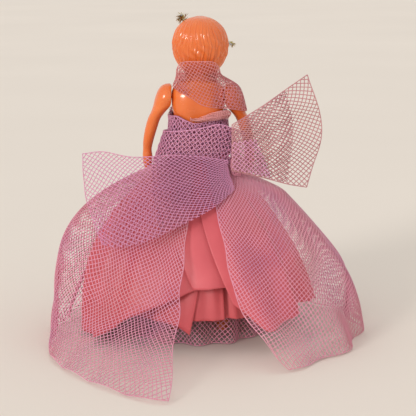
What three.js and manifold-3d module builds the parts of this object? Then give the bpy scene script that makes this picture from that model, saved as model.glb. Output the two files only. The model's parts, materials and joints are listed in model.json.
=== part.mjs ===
// Tree topper fairy doll: a strung hard-plastic doll in satin skirts and net.
// Millimetres, +Z up. The doll faces +Y and its axis stands on the origin.
// Its back is at -Y, its right arm at +X and its left arm at -X.

import * as THREE from 'three';
import { mergeVertices } from 'three/addons/utils/BufferGeometryUtils.js';
import Module from 'manifold-3d';

const wasm = await Module();
wasm.setup();

// Fits and walls
const FIT = 0.35;
const WALL = 1.6;
const SEAM = 0.3;

// Heights of the joints, each measured from the one below it
const HIP_Z = 71.5;
const TORSO_LENGTH = 39.5;
const NECK_LENGTH = 11.4;
const SHOULDER_Z = HIP_Z + TORSO_LENGTH;
const HEAD_BASE_Z = SHOULDER_Z + NECK_LENGTH;

// Head, measured from its neck opening upwards
const HEAD_HEIGHT = 25.8;
const HEAD_WIDTH = 25.7;
const HEAD_DEPTH = 27.0;
const HEAD_TURN_DEG = -17;
const NOSE_LENGTH = 1.5;
const HAIR_GROOVES = 12;
const HAIR_GROOVE_DEPTH = 0.3;

// Neck, torso and limbs
const NECK_RADIUS = 5.6;
const NECK_INSERT = 2;
const SHOULDER_FACE_X = 12.0;
const SHOULDER_RADIUS = 6.2;
const HIP_FACE_X = 7.4;
const HIP_RADIUS = 6.4;
const CROTCH_DROP = 8;
const CHEST_HALF_DEPTH = 8.2;
const WAIST_HALF_WIDTH = 9.2;
const HIP_HALF_WIDTH = 10.5;
const HIP_HALF_DEPTH = 8.5;
const ARM_LENGTH = 40;
const ARM_SPLAY = 5.9;
const WRIST_WIDTH = 4.1;
const THIGH_WIDTH = 6.8;
const ANKLE_RADIUS = 3.2;
const SHOE_LENGTH = 14;
const SHOE_WIDTH = 6.6;
const SHOE_HEIGHT = 5.2;

// Stringing
const STUD_RADIUS = 0.7;
const STUD_KNOB_RADIUS = 1.15;
const STUD_DEPTH = 3.6;
const STUD_REACH = 5.2;
const ELASTIC_RADIUS = 0.45;
const BAR_RADIUS = 0.9;
const TORSO_BAR_RISE = 18.5;
const NECK_BAR_RISE = 5.8;
const NECK_STUD_DROP = 8.6;

// Tinsel crown
const CROWN_WIRE_RADIUS = 0.4;
const TINSEL_RADIUS = 1.7;
const TINSEL_RIBS = 20;
const CROWN_LOW_SHARE = 0.488;
const CROWN_HIGH_SHARE = 0.953;

// Cloth layers, from the waist outwards
const CLOTH = 0.6;
const LAYER_PITCH = 1.25;
const WAISTLINE_RISE = 10.5;
const BELL_POWER = 1.8;
const HEM_LIFT = 0.3;
const PETTICOAT_HEM_RADIUS = 29;
const PETTICOAT_FOLDS = 12;
const PETTICOAT_FOLD_DEPTH = 1.9;
const UNDERSKIRT_STANDOFF = 7;
const UNDERSKIRT_HEM_Z = 12;
const UNDERSKIRT_FOLDS = 9;
const UNDERSKIRT_FOLD_DEPTH = 1.8;
const SATIN_FOLD_DEPTH = 0.9;
const SATIN_FOLDS = 17;
const NET_GAPS_ACROSS = 12;
const NET_GAPS_DOWN = 4;
const NET_BAR_SHARE = 0.27;
const OVERSKIRT_FOLD_DEPTH = 2.4;
const PUFF_START = 0.065;
const PUFF_FULL = 0.2;
const PUFF_END = 0.55;
const TRAIN_START_Z = 24;
const TRAIN_LYING = 6;
const RIGHT_EDGE_SWING_DEG = 13.5;
const LEFT_EDGE_SWING_DEG = 3;
const WAISTBAND_HEIGHT = 2.6;
const BODICE_STANDOFF = 1.9;
const BODICE_FLARE = 8;
const BODICE_DROP = 7.15;
const FOLD_RADIUS = 1.3;
const COLLAR_RADIUS = 1.6;
const COLLAR_FRONT_RADIUS = 1.1;
const COLLAR_SWEEP = 5.2;
const COLLAR_RISE = 6.2;
const SHAWL_STANDOFF = 1.2;
const SLEEVE_STANDOFF = 1.0;
const KNOT_RADIUS = 3.0;
const KNOT_ANGLE_DEG = 52;
const SASH_LEFT_REACH = 52.5;
const SASH_LEFT_BULGE = 27.2;
const SASH_LEFT_DROP = 34;
const SASH_RIGHT_REACH = 38.6;
const SASH_RIGHT_RISE = 41.5;

// Heights that follow from the sizes above
const NECK_TOP_Z = HEAD_BASE_Z + NECK_INSERT;
const TORSO_BOTTOM_Z = HIP_Z - CROTCH_DROP;
const TORSO_BAR_Z = HIP_Z + TORSO_BAR_RISE;
const NECK_BAR_Z = HEAD_BASE_Z + NECK_BAR_RISE;
const SKIRT_TOP_Z = HIP_Z + WAISTLINE_RISE;

// Satin skirt round the doll: [degrees from the back towards the right arm, hem height, hem radius]
const SATIN_HEM = [
  [-150, 10, 54],
  [-100, 7, 53],
  [-64, 2, 53.5],
  [-42, 14.5, 50],
  [-24, 21, 47],
  [-6, 28.5, 44.5],
  [12, 29.5, 45],
  [24, 22, 49.5],
  [36, 11, 55],
  [52, 15, 56],
  [66, 18.5, 56],
  [100, 13, 55],
  [150, 10, 54],
];

// Net overskirt from its right back edge round the front to its left back edge:
// [degrees, hem radius before the train, length of the train, power of the bell, puff below the waist]
const OVERSKIRT_HEM = [
  [17, 74, 7, 1.12, 0],
  [40, 75, 2, 1.35, 1.5],
  [62, 76, 1, 1.55, 6.5],
  [90, 76.5, 0, 1.4, 9.5],
  [120, 74, 0, 1.6, 6],
  [180, 72, 0, 1.7, 1],
  [235, 70, 0, 1.6, 0],
  [257, 67.5, 0, 1.5, 0],
  [268, 68, 0, 1.9, 0],
  [286, 69, 2, 4.8, 0],
  [308, 70.5, 12, 1.7, 0],
  [330, 69, 26, 1.12, 0],
  [351, 70, 42, 1.0, 0],
];

const rad = THREE.MathUtils.degToRad;
const lerp = THREE.MathUtils.lerp;
const smoothstep = THREE.MathUtils.smoothstep;
const V = (x, y, z) => new THREE.Vector3(x, y, z);

// Smooth curve through rows of [x, ...values]; a period makes it join its own start.
function through(rows, x, column, period = 0) {
  const n = rows.length;
  const at = (i) => {
    const turn = period ? Math.floor(i / n) : 0;
    const row = period ? rows[i - turn * n] : rows[THREE.MathUtils.clamp(i, 0, n - 1)];
    return [row[0] + turn * period, row[column]];
  };
  let where = x;
  if (period) {
    where = rows[0][0] + THREE.MathUtils.euclideanModulo(x - rows[0][0], period);
  }
  let i = 0;
  while (i < n - 2 + (period ? 1 : 0) && at(i + 1)[0] <= where) i += 1;
  const [before, from, to, after] = [at(i - 1), at(i), at(i + 1), at(i + 2)];
  const span = to[0] - from[0];
  const t = THREE.MathUtils.clamp((where - from[0]) / span, 0, 1);
  const slope = (a, b) => (b[0] === a[0] ? 0 : ((b[1] - a[1]) / (b[0] - a[0])) * span);
  const m0 = slope(before, to);
  const m1 = slope(from, after);
  return (
    (2 * t ** 3 - 3 * t ** 2 + 1) * from[1] +
    (t ** 3 - 2 * t ** 2 + t) * m0 +
    (-2 * t ** 3 + 3 * t ** 2) * to[1] +
    (t ** 3 - t ** 2) * m1
  );
}

// Closed mesh from points and faces, turned inside out if its volume is negative.
function closedGeometry(points, faces) {
  let volume = 0;
  for (const [a, b, c] of faces) {
    volume += points[a].dot(V(0, 0, 0).crossVectors(points[b], points[c]));
  }
  const geometry = new THREE.BufferGeometry();
  const flat = points.flatMap((p) => [p.x, p.y, p.z]);
  geometry.setAttribute('position', new THREE.Float32BufferAttribute(flat, 3));
  geometry.setIndex(faces.flatMap(([a, b, c]) => (volume < 0 ? [a, c, b] : [a, b, c])));
  return geometry;
}

// Skin over a stack of rings with equal point counts, capped at both ends unless it joins itself.
function loft(rings, joined = false) {
  const n = rings[0].length;
  const points = rings.flat();
  const faces = [];
  const last = joined ? rings.length : rings.length - 1;
  for (let j = 0; j < last; j += 1) {
    const up = ((j + 1) % rings.length) * n;
    for (let i = 0; i < n; i += 1) {
      const k = (i + 1) % n;
      faces.push([j * n + i, j * n + k, up + k], [j * n + i, up + k, up + i]);
    }
  }
  if (!joined) {
    for (const [ring, start, flip] of [[rings[0], 0, true], [rings.at(-1), (rings.length - 1) * n, false]]) {
      const middle = ring.reduce((sum, p) => sum.add(p), V(0, 0, 0)).divideScalar(n);
      points.push(middle);
      for (let i = 0; i < n; i += 1) {
        const k = (i + 1) % n;
        const tip = points.length - 1;
        faces.push(flip ? [tip, start + k, start + i] : [tip, start + i, start + k]);
      }
    }
  }
  return closedGeometry(points, faces);
}

// Sheet of cloth of even thickness about the surface place(u, v); joined makes u run right round, and
// gap(i, j) says which cells of its grid are left open.
function sheet(place, columns, rows, joined = false, gap = () => false) {
  const wide = joined ? columns : columns + 1;
  const step = 1e-3;
  const sides = [[], []];
  for (let j = 0; j <= rows; j += 1) {
    for (let i = 0; i < wide; i += 1) {
      const u = i / columns;
      const v = j / rows;
      const [u0, u1] = joined ? [u - step, u + step] : [Math.max(0, u - step), Math.min(1, u + step)];
      const across = place(u1, v).sub(place(u0, v));
      const down = place(u, Math.min(1, v + step)).sub(place(u, Math.max(0, v - step)));
      const normal = across.cross(down).normalize().multiplyScalar(CLOTH / 2);
      sides[0].push(place(u, v).add(normal));
      sides[1].push(place(u, v).sub(normal));
    }
  }
  const points = sides.flat();
  const back = sides[0].length;
  const faces = [];
  const quad = (a, b, c, d) => faces.push([a, b, c], [a, c, d]);
  const wall = (a, b) => quad(a, back + a, back + b, b);
  const id = (i, j) => j * wide + (i % wide);
  const cloth = (i, j) => {
    const column = joined ? (i + columns) % columns : i;
    return column >= 0 && column < columns && j >= 0 && j < rows && !gap(column, j);
  };
  for (let j = 0; j < rows; j += 1) {
    for (let i = 0; i < columns; i += 1) {
      if (!cloth(i, j)) continue;
      const [a, b, c, d] = [id(i, j), id(i + 1, j), id(i + 1, j + 1), id(i, j + 1)];
      quad(a, b, c, d);
      quad(back + a, back + d, back + c, back + b);
      if (!cloth(i, j - 1)) wall(a, b);
      if (!cloth(i + 1, j)) wall(b, c);
      if (!cloth(i, j + 1)) wall(c, d);
      if (!cloth(i - 1, j)) wall(d, a);
    }
  }
  return closedGeometry(points, faces);
}

// Round rod along a smooth path, with a radius that may vary along and round it.
function rod(path, radius, steps, sides, joined = false) {
  const curve = new THREE.CatmullRomCurve3(path, joined);
  const frames = curve.computeFrenetFrames(steps, joined);
  const rings = [];
  for (let j = 0; j <= steps - (joined ? 1 : 0); j += 1) {
    const centre = curve.getPointAt(j / steps);
    const ring = [];
    for (let i = 0; i < sides; i += 1) {
      const angle = (i / sides) * 2 * Math.PI;
      const r = typeof radius === 'function' ? radius(j / steps, angle) : radius;
      const out = frames.normals[j].clone().multiplyScalar(r * Math.cos(angle));
      out.addScaledVector(frames.binormals[j], r * Math.sin(angle));
      ring.push(out.add(centre));
    }
    rings.push(ring);
  }
  return loft(rings, joined);
}

// Solids for joining and cutting
function solid(geometry) {
  const plain = geometry.clone();
  plain.deleteAttribute('normal');
  plain.deleteAttribute('uv');
  const merged = mergeVertices(plain, 1e-5);
  const vertProperties = Float32Array.from(merged.attributes.position.array);
  const triVerts = Uint32Array.from(merged.index.array);
  return new wasm.Manifold(new wasm.Mesh({ numProp: 3, vertProperties, triVerts }));
}

function geometryOf(shape) {
  const mesh = shape.getMesh();
  const geometry = new THREE.BufferGeometry();
  geometry.setAttribute('position', new THREE.BufferAttribute(Float32Array.from(mesh.vertProperties), 3));
  geometry.setIndex(Array.from(mesh.triVerts));
  return geometry;
}

function boxSolid(low, high) {
  const size = high.clone().sub(low);
  const box = new THREE.BoxGeometry(size.x, size.y, size.z);
  const middle = low.clone().add(high).divideScalar(2);
  return solid(box.translate(middle.x, middle.y, middle.z));
}

// Cylinder between two points on the X axis direction, at height z
function crossCylinder(radius, x0, x1, z, sides = 20) {
  const cylinder = new THREE.CylinderGeometry(radius, radius, x1 - x0, sides);
  cylinder.rotateZ(Math.PI / 2).translate((x0 + x1) / 2, 0, z);
  return solid(cylinder);
}

function mirrored(geometry) {
  const copy = geometry.clone();
  copy.scale(-1, 1, 1);
  const index = Array.from(copy.index.array);
  for (let i = 0; i < index.length; i += 3) {
    [index[i + 1], index[i + 2]] = [index[i + 2], index[i + 1]];
  }
  copy.setIndex(index);
  return copy;
}

// Flat ellipse at height z
function oval(z, halfWidth, halfDepth, middleY, sides, middleX = 0) {
  const ring = [];
  for (let i = 0; i < sides; i += 1) {
    const a = (i / sides) * 2 * Math.PI;
    ring.push(V(middleX + halfWidth * Math.cos(a), middleY + halfDepth * Math.sin(a), z));
  }
  return ring;
}

// Point at an angle from the back, at a radius and height
function polar(degrees, r, z) {
  return V(r * Math.sin(rad(degrees)), -r * Math.cos(rad(degrees)), z);
}

// Finishes
const PLASTIC = { color: 0xeb8246, roughness: 0.25, metalness: 0 };
const SATIN = { color: 0xe1696e, roughness: 0.45, metalness: 0 };
const NET = { color: 0xb982a5, roughness: 0.8, metalness: 0 };
const STEEL = { color: 0x9a9a98, roughness: 0.35, metalness: 1 };
const ELASTIC = { color: 0xe9e4d8, roughness: 0.9, metalness: 0 };
const TINSEL = { color: 0x8a7c3a, roughness: 0.3, metalness: 0.9 };

const doll = new THREE.Group();

function add(parent, name, geometry, finish) {
  const mesh = new THREE.Mesh(geometry, new THREE.MeshStandardMaterial(finish));
  mesh.name = name;
  parent.add(mesh);
  return mesh;
}

// Head: two glued shells with moulded hair behind and a plain painted doll face in front.
const headGroup = new THREE.Group();
headGroup.rotation.z = rad(HEAD_TURN_DEG);
doll.add(headGroup);

// [share of the height, share of the half width, share of the half depth, forward shift]
const HEAD_SHAPE = [
  [0, 0.56, 0.56, 0],
  [0.06, 0.68, 0.66, 0.1],
  [0.17, 0.83, 0.82, 0.5],
  [0.32, 0.95, 0.95, 0.5],
  [0.48, 1.0, 1.0, 0.2],
  [0.64, 0.965, 0.975, 0],
  [0.78, 0.85, 0.86, -0.2],
  [0.89, 0.64, 0.65, -0.3],
  [0.96, 0.4, 0.41, -0.3],
  [1, 0.1, 0.1, -0.3],
];

function bump(dx, dz, wide, high) {
  return Math.exp(-((dx / wide) ** 2) - (dz / high) ** 2);
}

function headRing(share, inset, sides, features) {
  const halfWidth = (through(HEAD_SHAPE, share, 1) * HEAD_WIDTH) / 2 - inset;
  const halfDepth = (through(HEAD_SHAPE, share, 2) * HEAD_DEPTH) / 2 - inset;
  const shift = through(HEAD_SHAPE, share, 3);
  const ring = oval(HEAD_BASE_Z + share * HEAD_HEIGHT, halfWidth, halfDepth, shift, sides);
  if (!features) return ring;
  return ring.map((p) => {
    const turn = Math.atan2(p.x, p.y - shift);
    const hairline = smoothstep(Math.abs(turn), 1.0, 1.3);
    const crownward = smoothstep(share, 0.62, 0.74);
    const hair = Math.max(hairline, crownward) * smoothstep(share, 0.1, 0.2);
    const groove = HAIR_GROOVE_DEPTH * hair * Math.cos(turn * HAIR_GROOVES) * (1 - share) ** 0.3;
    const nose = NOSE_LENGTH * bump(turn, share - 0.36, 0.13, 0.07);
    const cheeks = 0.7 * bump(Math.abs(turn) - 0.62, share - 0.28, 0.34, 0.13);
    const chin = 0.6 * bump(turn, share - 0.12, 0.3, 0.07);
    const brow = -0.45 * bump(turn, share - 0.46, 0.6, 0.06);
    const out = V(p.x, p.y - shift, 0).normalize();
    return p.clone().addScaledVector(out, groove + nose + cheeks + chin + brow);
  });
}

const headShares = [0, 0.05, 0.12, 0.2, 0.28, 0.36, 0.44, 0.54, 0.64, 0.74, 0.83, 0.91, 0.97, 1];
const headOuter = solid(loft(headShares.map((s) => headRing(s, 0, 36, true))));
const cavityShares = [0.1, 0.22, 0.4, 0.6, 0.76, 0.86];
const headCavity = solid(loft(cavityShares.map((s) => headRing(s, WALL + 0.3, 16, false))));
const neckOpening = new THREE.CylinderGeometry(NECK_RADIUS + FIT, NECK_RADIUS + FIT, HEAD_HEIGHT / 3, 24);
neckOpening.rotateX(Math.PI / 2).translate(0, 0, HEAD_BASE_Z);
const headShell = headOuter.subtract(headCavity).subtract(solid(neckOpening));
const headReach = HEAD_WIDTH + HEAD_DEPTH;
const behind = boxSolid(V(-headReach, -headReach, 0), V(headReach, -SEAM / 2, HEAD_BASE_Z + 2 * HEAD_HEIGHT));
const ahead = boxSolid(V(-headReach, SEAM / 2, 0), V(headReach, headReach, HEAD_BASE_Z + 2 * HEAD_HEIGHT));
add(headGroup, 'head_back_shell', geometryOf(headShell.intersect(behind)), PLASTIC);
add(headGroup, 'head_face_shell', geometryOf(headShell.intersect(ahead)), PLASTIC);

// Bar wedged across the inside of the head, and the stud that hangs from it into the neck
const barShare = (NECK_BAR_Z - HEAD_BASE_Z) / HEAD_HEIGHT;
const barRoom = (through(HEAD_SHAPE, barShare, 1) * HEAD_WIDTH) / 2 - WALL - 0.3;
const barHalf = barRoom - BAR_RADIUS - 2 * SEAM;
const neckBar = new THREE.CylinderGeometry(BAR_RADIUS, BAR_RADIUS, 2 * barHalf, 10);
add(headGroup, 'neck_bar', neckBar.rotateZ(Math.PI / 2).translate(0, 0, NECK_BAR_Z), STEEL);
const eyeRadius = BAR_RADIUS + SEAM + STUD_RADIUS;
const eye = new THREE.TorusGeometry(eyeRadius, STUD_RADIUS, 6, 12);
eye.rotateY(Math.PI / 2).translate(0, 0, NECK_BAR_Z);
const neckShankTop = NECK_BAR_Z - eyeRadius;
const neckKnobZ = neckShankTop - NECK_STUD_DROP;
const neckShank = new THREE.CylinderGeometry(STUD_RADIUS, STUD_RADIUS, NECK_STUD_DROP, 8);
neckShank.rotateX(Math.PI / 2).translate(0, 0, neckShankTop - NECK_STUD_DROP / 2);
const neckKnob = new THREE.SphereGeometry(STUD_KNOB_RADIUS, 8, 5).translate(0, 0, neckKnobZ);
add(headGroup, 'neck_stud', geometryOf(solid(eye).add(solid(neckShank)).add(solid(neckKnob))), STEEL);

// Tinsel crown: a wire bow over the front of the head in a bushy sleeve
const crownStand = TINSEL_RADIUS + FIT;
function crownPoint(t) {
  const turn = lerp(-1.62, 1.2, t);
  const share = lerp(CROWN_LOW_SHARE, CROWN_HIGH_SHARE, (1 - Math.cos(turn - 1.1)) / 2);
  const z = HEAD_BASE_Z + share * HEAD_HEIGHT;
  const halfWidth = (through(HEAD_SHAPE, share, 1) * HEAD_WIDTH) / 2;
  const halfDepth = (through(HEAD_SHAPE, share, 2) * HEAD_DEPTH) / 2;
  const slopeOut = V(Math.sin(turn) * halfWidth, Math.cos(turn) * halfDepth, (share - 0.48) * HEAD_HEIGHT);
  const out = slopeOut.clone().normalize().multiplyScalar(crownStand + HAIR_GROOVE_DEPTH);
  return V(slopeOut.x, slopeOut.y + through(HEAD_SHAPE, share, 3), z).add(out);
}
const crownPath = Array.from({ length: 9 }, (_, i) => crownPoint(i / 8));
add(headGroup, 'crown_wire', rod(crownPath, CROWN_WIRE_RADIUS, 16, 5), TINSEL);
const tinselOuter = solid(
  rod(crownPath, (t) => TINSEL_RADIUS * (0.82 + 0.18 * Math.cos(t * TINSEL_RIBS * Math.PI)), TINSEL_RIBS, 7),
);
const longPath = Array.from({ length: 11 }, (_, i) => crownPoint((i - 1) / 8));
const tinselBore = solid(rod(longPath, CROWN_WIRE_RADIUS + SEAM, 20, 5));
add(headGroup, 'crown_tinsel', geometryOf(tinselOuter.subtract(tinselBore)), TINSEL);

// Torso: front and back shells glued on a seam, open at the neck, arms and legs
const torsoHeight = (share) => lerp(HIP_Z, SHOULDER_Z, share);
const TORSO_SHAPE = [
  [TORSO_BOTTOM_Z, 3, 3.2, 0],
  [TORSO_BOTTOM_Z + 2.5, 6.5, 6.4, 0],
  [HIP_Z, 0.93 * HIP_HALF_WIDTH, HIP_HALF_DEPTH, -0.2],
  [torsoHeight(0.19), HIP_HALF_WIDTH, HIP_HALF_DEPTH - 0.2, -0.2],
  [torsoHeight(0.367), WAIST_HALF_WIDTH + 0.5, 7.4, 0],
  [torsoHeight(0.519), WAIST_HALF_WIDTH, 6.8, 0],
  [torsoHeight(0.696), lerp(WAIST_HALF_WIDTH, SHOULDER_FACE_X, 0.5), 7.4, 0.3],
  [torsoHeight(0.873), SHOULDER_FACE_X + 0.1, CHEST_HALF_DEPTH, 0.4],
  [SHOULDER_Z, SHOULDER_FACE_X + 0.4, CHEST_HALF_DEPTH - 0.5, 0],
  [SHOULDER_Z + 4.4, SHOULDER_FACE_X - 0.4, CHEST_HALF_DEPTH - 1.8, -0.2],
  [SHOULDER_Z + 7.2, NECK_RADIUS + 3, NECK_RADIUS + 0.2, -0.2],
  [SHOULDER_Z + 8.8, NECK_RADIUS + 0.6, NECK_RADIUS, 0],
  [NECK_TOP_Z, NECK_RADIUS, NECK_RADIUS, 0],
];

function torsoSize(z, column) {
  return through(TORSO_SHAPE, z, column);
}

const torsoOuter = solid(loft(TORSO_SHAPE.map(([z, a, b, y]) => oval(z, a, b, y, 26))));
const cavityRows = TORSO_SHAPE.slice(1, -2).map(([z, a, b, y], i, all) => {
  const face = z < HIP_Z + HIP_RADIUS + 1 ? HIP_FACE_X : SHOULDER_FACE_X;
  const lift = i === 0 ? WALL : 0;
  const drop = i === all.length - 1 ? WALL : 0;
  return oval(z + lift - drop, Math.min(a, face) - WALL, b - WALL, y, 14);
});
const torsoCavity = solid(loft(cavityRows));
const boreLength = NECK_TOP_Z + WALL - SHOULDER_Z;
const neckBore = new THREE.CylinderGeometry(NECK_RADIUS / 1.75, NECK_RADIUS / 1.75, boreLength, 16);
neckBore.rotateX(Math.PI / 2).translate(0, 0, SHOULDER_Z + boreLength / 2);
let torsoShell = torsoOuter.subtract(torsoCavity).subtract(solid(neckBore));
for (const [face, z, radius] of [
  [SHOULDER_FACE_X, SHOULDER_Z, SHOULDER_RADIUS],
  [HIP_FACE_X, HIP_Z, HIP_RADIUS],
]) {
  const room = radius + 4 * FIT;
  torsoShell = torsoShell.subtract(crossCylinder(room, face, face + 20, z, 28));
  torsoShell = torsoShell.subtract(crossCylinder(room, -face - 20, -face, z, 28));
  const bore = STUD_KNOB_RADIUS + 2 * FIT;
  torsoShell = torsoShell.subtract(crossCylinder(bore, -face - 4, face + 4, z, 12));
}
const torsoReach = 4 * SHOULDER_FACE_X;
const backHalf = boxSolid(V(-torsoReach, -torsoReach, 0), V(torsoReach, -SEAM / 2, 2 * NECK_TOP_Z));
const frontHalf = boxSolid(V(-torsoReach, SEAM / 2, 0), V(torsoReach, torsoReach, 2 * NECK_TOP_Z));
add(doll, 'torso_back_shell', geometryOf(torsoShell.intersect(backHalf)), PLASTIC);
add(doll, 'torso_front_shell', geometryOf(torsoShell.intersect(frontHalf)), PLASTIC);

// Bar across the torso that takes the lower end of the neck elastic
const torsoBarHalf = torsoSize(TORSO_BAR_Z, 2) - WALL - 2 * SEAM;
const torsoBar = new THREE.CylinderGeometry(BAR_RADIUS, BAR_RADIUS, 2 * torsoBarHalf, 10);
add(doll, 'torso_bar', torsoBar.translate(0, torsoSize(TORSO_BAR_Z, 3), TORSO_BAR_Z), STEEL);

// Stud on the X axis direction: a shank in the limb and a knob inside the torso
function limbStud(face, z) {
  const knobX = face - STUD_REACH;
  const shank = crossCylinder(STUD_RADIUS, knobX, face + STUD_DEPTH, z, 8);
  const knob = new THREE.SphereGeometry(STUD_KNOB_RADIUS, 8, 5).translate(knobX, 0, z);
  return geometryOf(shank.add(solid(knob)));
}

// Arms: round shoulder with a flat inner face, tapering to a mitten hand
const armFace = SHOULDER_FACE_X + FIT;
const armTop = SHOULDER_Z + SHOULDER_RADIUS;
const handZ = armTop - ARM_LENGTH;
const armHeight = (share) => lerp(SHOULDER_Z, handZ, share);
const armWidth = SHOULDER_FACE_X - 4.4;
const wristX = armFace + ARM_SPLAY + 3.6;
// [height, inner x, outer x, half depth, forward shift, inner side left flat]
const ARM_SHAPE = [
  [armTop, armFace + 0.7, armFace + 2.6, 1.1, 0, 0.5],
  [armTop - 0.8, armFace, armFace + 4.4, 0.5 * SHOULDER_RADIUS, 0, 1.6],
  [armTop - 2.8, armFace, armFace + 6.2, 0.82 * SHOULDER_RADIUS, 0, 2.6],
  [SHOULDER_Z, armFace, armFace + armWidth, SHOULDER_RADIUS, 0, 3],
  [armHeight(0.107), armFace + 0.5, armFace + armWidth + 0.9, 0.85 * SHOULDER_RADIUS, 0, 1.5],
  [armHeight(0.189), armFace + 2.6, armFace + armWidth + 1.8, 0.72 * SHOULDER_RADIUS, 0, 0.3],
  [armHeight(0.296), wristX - 4.4, wristX + 1.6, 3.6, 0.2, 0],
  [armHeight(0.444), wristX - 2.6, wristX + 3.0, 3.2, 0.7, 0],
  [armHeight(0.621), wristX - 0.8, wristX + 4.0, 2.8, 1.4, 0],
  [armHeight(0.734), wristX, wristX + WRIST_WIDTH, 2.2, 2.0, 0],
  [armHeight(0.822), wristX - 0.3, wristX + WRIST_WIDTH + 0.2, 2.9, 2.5, 0],
  [armHeight(0.929), wristX - 0.1, wristX + WRIST_WIDTH, 2.8, 3.0, 0],
  [handZ, wristX + 0.8, wristX + WRIST_WIDTH - 0.8, 1.4, 3.2, 0],
];

// Ring of a limb between an inner and an outer side, flattened on the inner side
function limbRing([z, inner, outer, halfDepth, forward, flat], grow, from, to, count, whole) {
  const middle = (inner - flat + outer) / 2;
  const half = (outer - inner + flat) / 2 + grow;
  const ring = [];
  for (let i = 0; i < count; i += 1) {
    const a = lerp(from, to, i / (whole ? count : count - 1));
    const x = middle + half * Math.cos(a);
    ring.push(V(Math.max(x, inner - grow), forward + (halfDepth + grow) * Math.sin(a), z));
  }
  return ring;
}

const armLoft = loft(ARM_SHAPE.map((row) => limbRing(row, 0, 0, 2 * Math.PI, 16, true)));
const studBore = STUD_RADIUS + FIT;
const armSolid = solid(armLoft).subtract(
  crossCylinder(studBore, armFace - 4, armFace + STUD_DEPTH + FIT, SHOULDER_Z, 10),
);
const rightArm = geometryOf(armSolid);
const rightArmStud = limbStud(armFace, SHOULDER_Z);
add(doll, 'right_arm', rightArm, PLASTIC);
add(doll, 'right_arm_stud', rightArmStud, STEEL);
add(doll, 'left_arm', mirrored(rightArm), PLASTIC);
add(doll, 'left_arm_stud', mirrored(rightArmStud), STEEL);

// Legs: round top with a flat inner face, down to a shoe with a flat sole
const legFace = HIP_FACE_X + FIT;
const legTop = HIP_Z + HIP_RADIUS;
const legMiddle = legFace + THIGH_WIDTH / 2;
const LEG_SHAPE = [
  [legTop, legFace + 1, legFace + 2.4, 1.2, 0, 0.5],
  [legTop - 0.9, legFace, legFace + 0.55 * THIGH_WIDTH, 0.5 * HIP_RADIUS, 0, 1.6],
  [legTop - 3, legFace, legFace + 0.82 * THIGH_WIDTH, 0.84 * HIP_RADIUS, 0, 2.4],
  [HIP_Z, legFace, legFace + THIGH_WIDTH, HIP_RADIUS, 0, 2.6],
  [HIP_Z - 6, legFace, legFace + THIGH_WIDTH, 0.92 * HIP_RADIUS, 0, 1.4],
  [HIP_Z * 0.72, legFace, legFace + 0.96 * THIGH_WIDTH, 5.2, 0.3, 0.2],
  [HIP_Z * 0.52, legMiddle - 3.3, legMiddle + 2.9, 4.1, 0.5, 0],
  [HIP_Z * 0.36, legMiddle - 3.3, legMiddle + 3.0, 4.0, 0, 0],
  [HIP_Z * 0.15, legMiddle - ANKLE_RADIUS + 0.3, legMiddle + ANKLE_RADIUS - 0.3, ANKLE_RADIUS - 0.2, 0, 0],
  [SHOE_HEIGHT * 0.6, legMiddle - ANKLE_RADIUS, legMiddle + ANKLE_RADIUS, ANKLE_RADIUS + 0.2, 0, 0],
];
const legLoft = solid(loft(LEG_SHAPE.map((row) => limbRing(row, 0, 0, 2 * Math.PI, 14, true))));
const shoeY = SHOE_LENGTH / 2 - ANKLE_RADIUS - 1;
const shoeRows = [
  [0, 0.9],
  [SHOE_HEIGHT * 0.25, 1],
  [SHOE_HEIGHT * 0.6, 0.92],
  [SHOE_HEIGHT * 0.88, 0.7],
  [SHOE_HEIGHT, 0.4],
];
const shoeLoft = solid(
  loft(
    shoeRows.map(([z, k]) => oval(z, (k * SHOE_WIDTH) / 2, (k * SHOE_LENGTH) / 2, shoeY * k, 14, legMiddle)),
  ),
);
const legSolid = legLoft
  .add(shoeLoft)
  .subtract(crossCylinder(studBore, legFace - 4, legFace + STUD_DEPTH + FIT, HIP_Z, 10));
const rightLeg = geometryOf(legSolid);
const rightLegStud = limbStud(legFace, HIP_Z);
add(doll, 'right_leg', rightLeg, PLASTIC);
add(doll, 'right_leg_stud', rightLegStud, STEEL);
add(doll, 'left_leg', mirrored(rightLeg), PLASTIC);
add(doll, 'left_leg_stud', mirrored(rightLegStud), STEEL);

// Elastics: loops that pass each knob and close round the shank behind it
const hold = STUD_RADIUS + SEAM + ELASTIC_RADIUS;
const pass = STUD_KNOB_RADIUS + SEAM + ELASTIC_RADIUS;
const behindKnob = STUD_KNOB_RADIUS + SEAM + ELASTIC_RADIUS;

function limbElastic(face, z) {
  const knobX = face - STUD_REACH;
  const neckX = knobX + behindKnob;
  const end = (side) => [
    V(side * knobX, -side * pass, z),
    V(side * neckX, -side * hold * 0.95, z + hold * 0.35),
    V(side * neckX, 0, z + hold),
    V(side * neckX, side * hold * 0.95, z + hold * 0.35),
    V(side * knobX, side * pass, z),
  ];
  return rod([...end(1), V(0, pass, z), ...end(-1), V(0, -pass, z)], ELASTIC_RADIUS, 28, 5, true);
}

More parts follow.
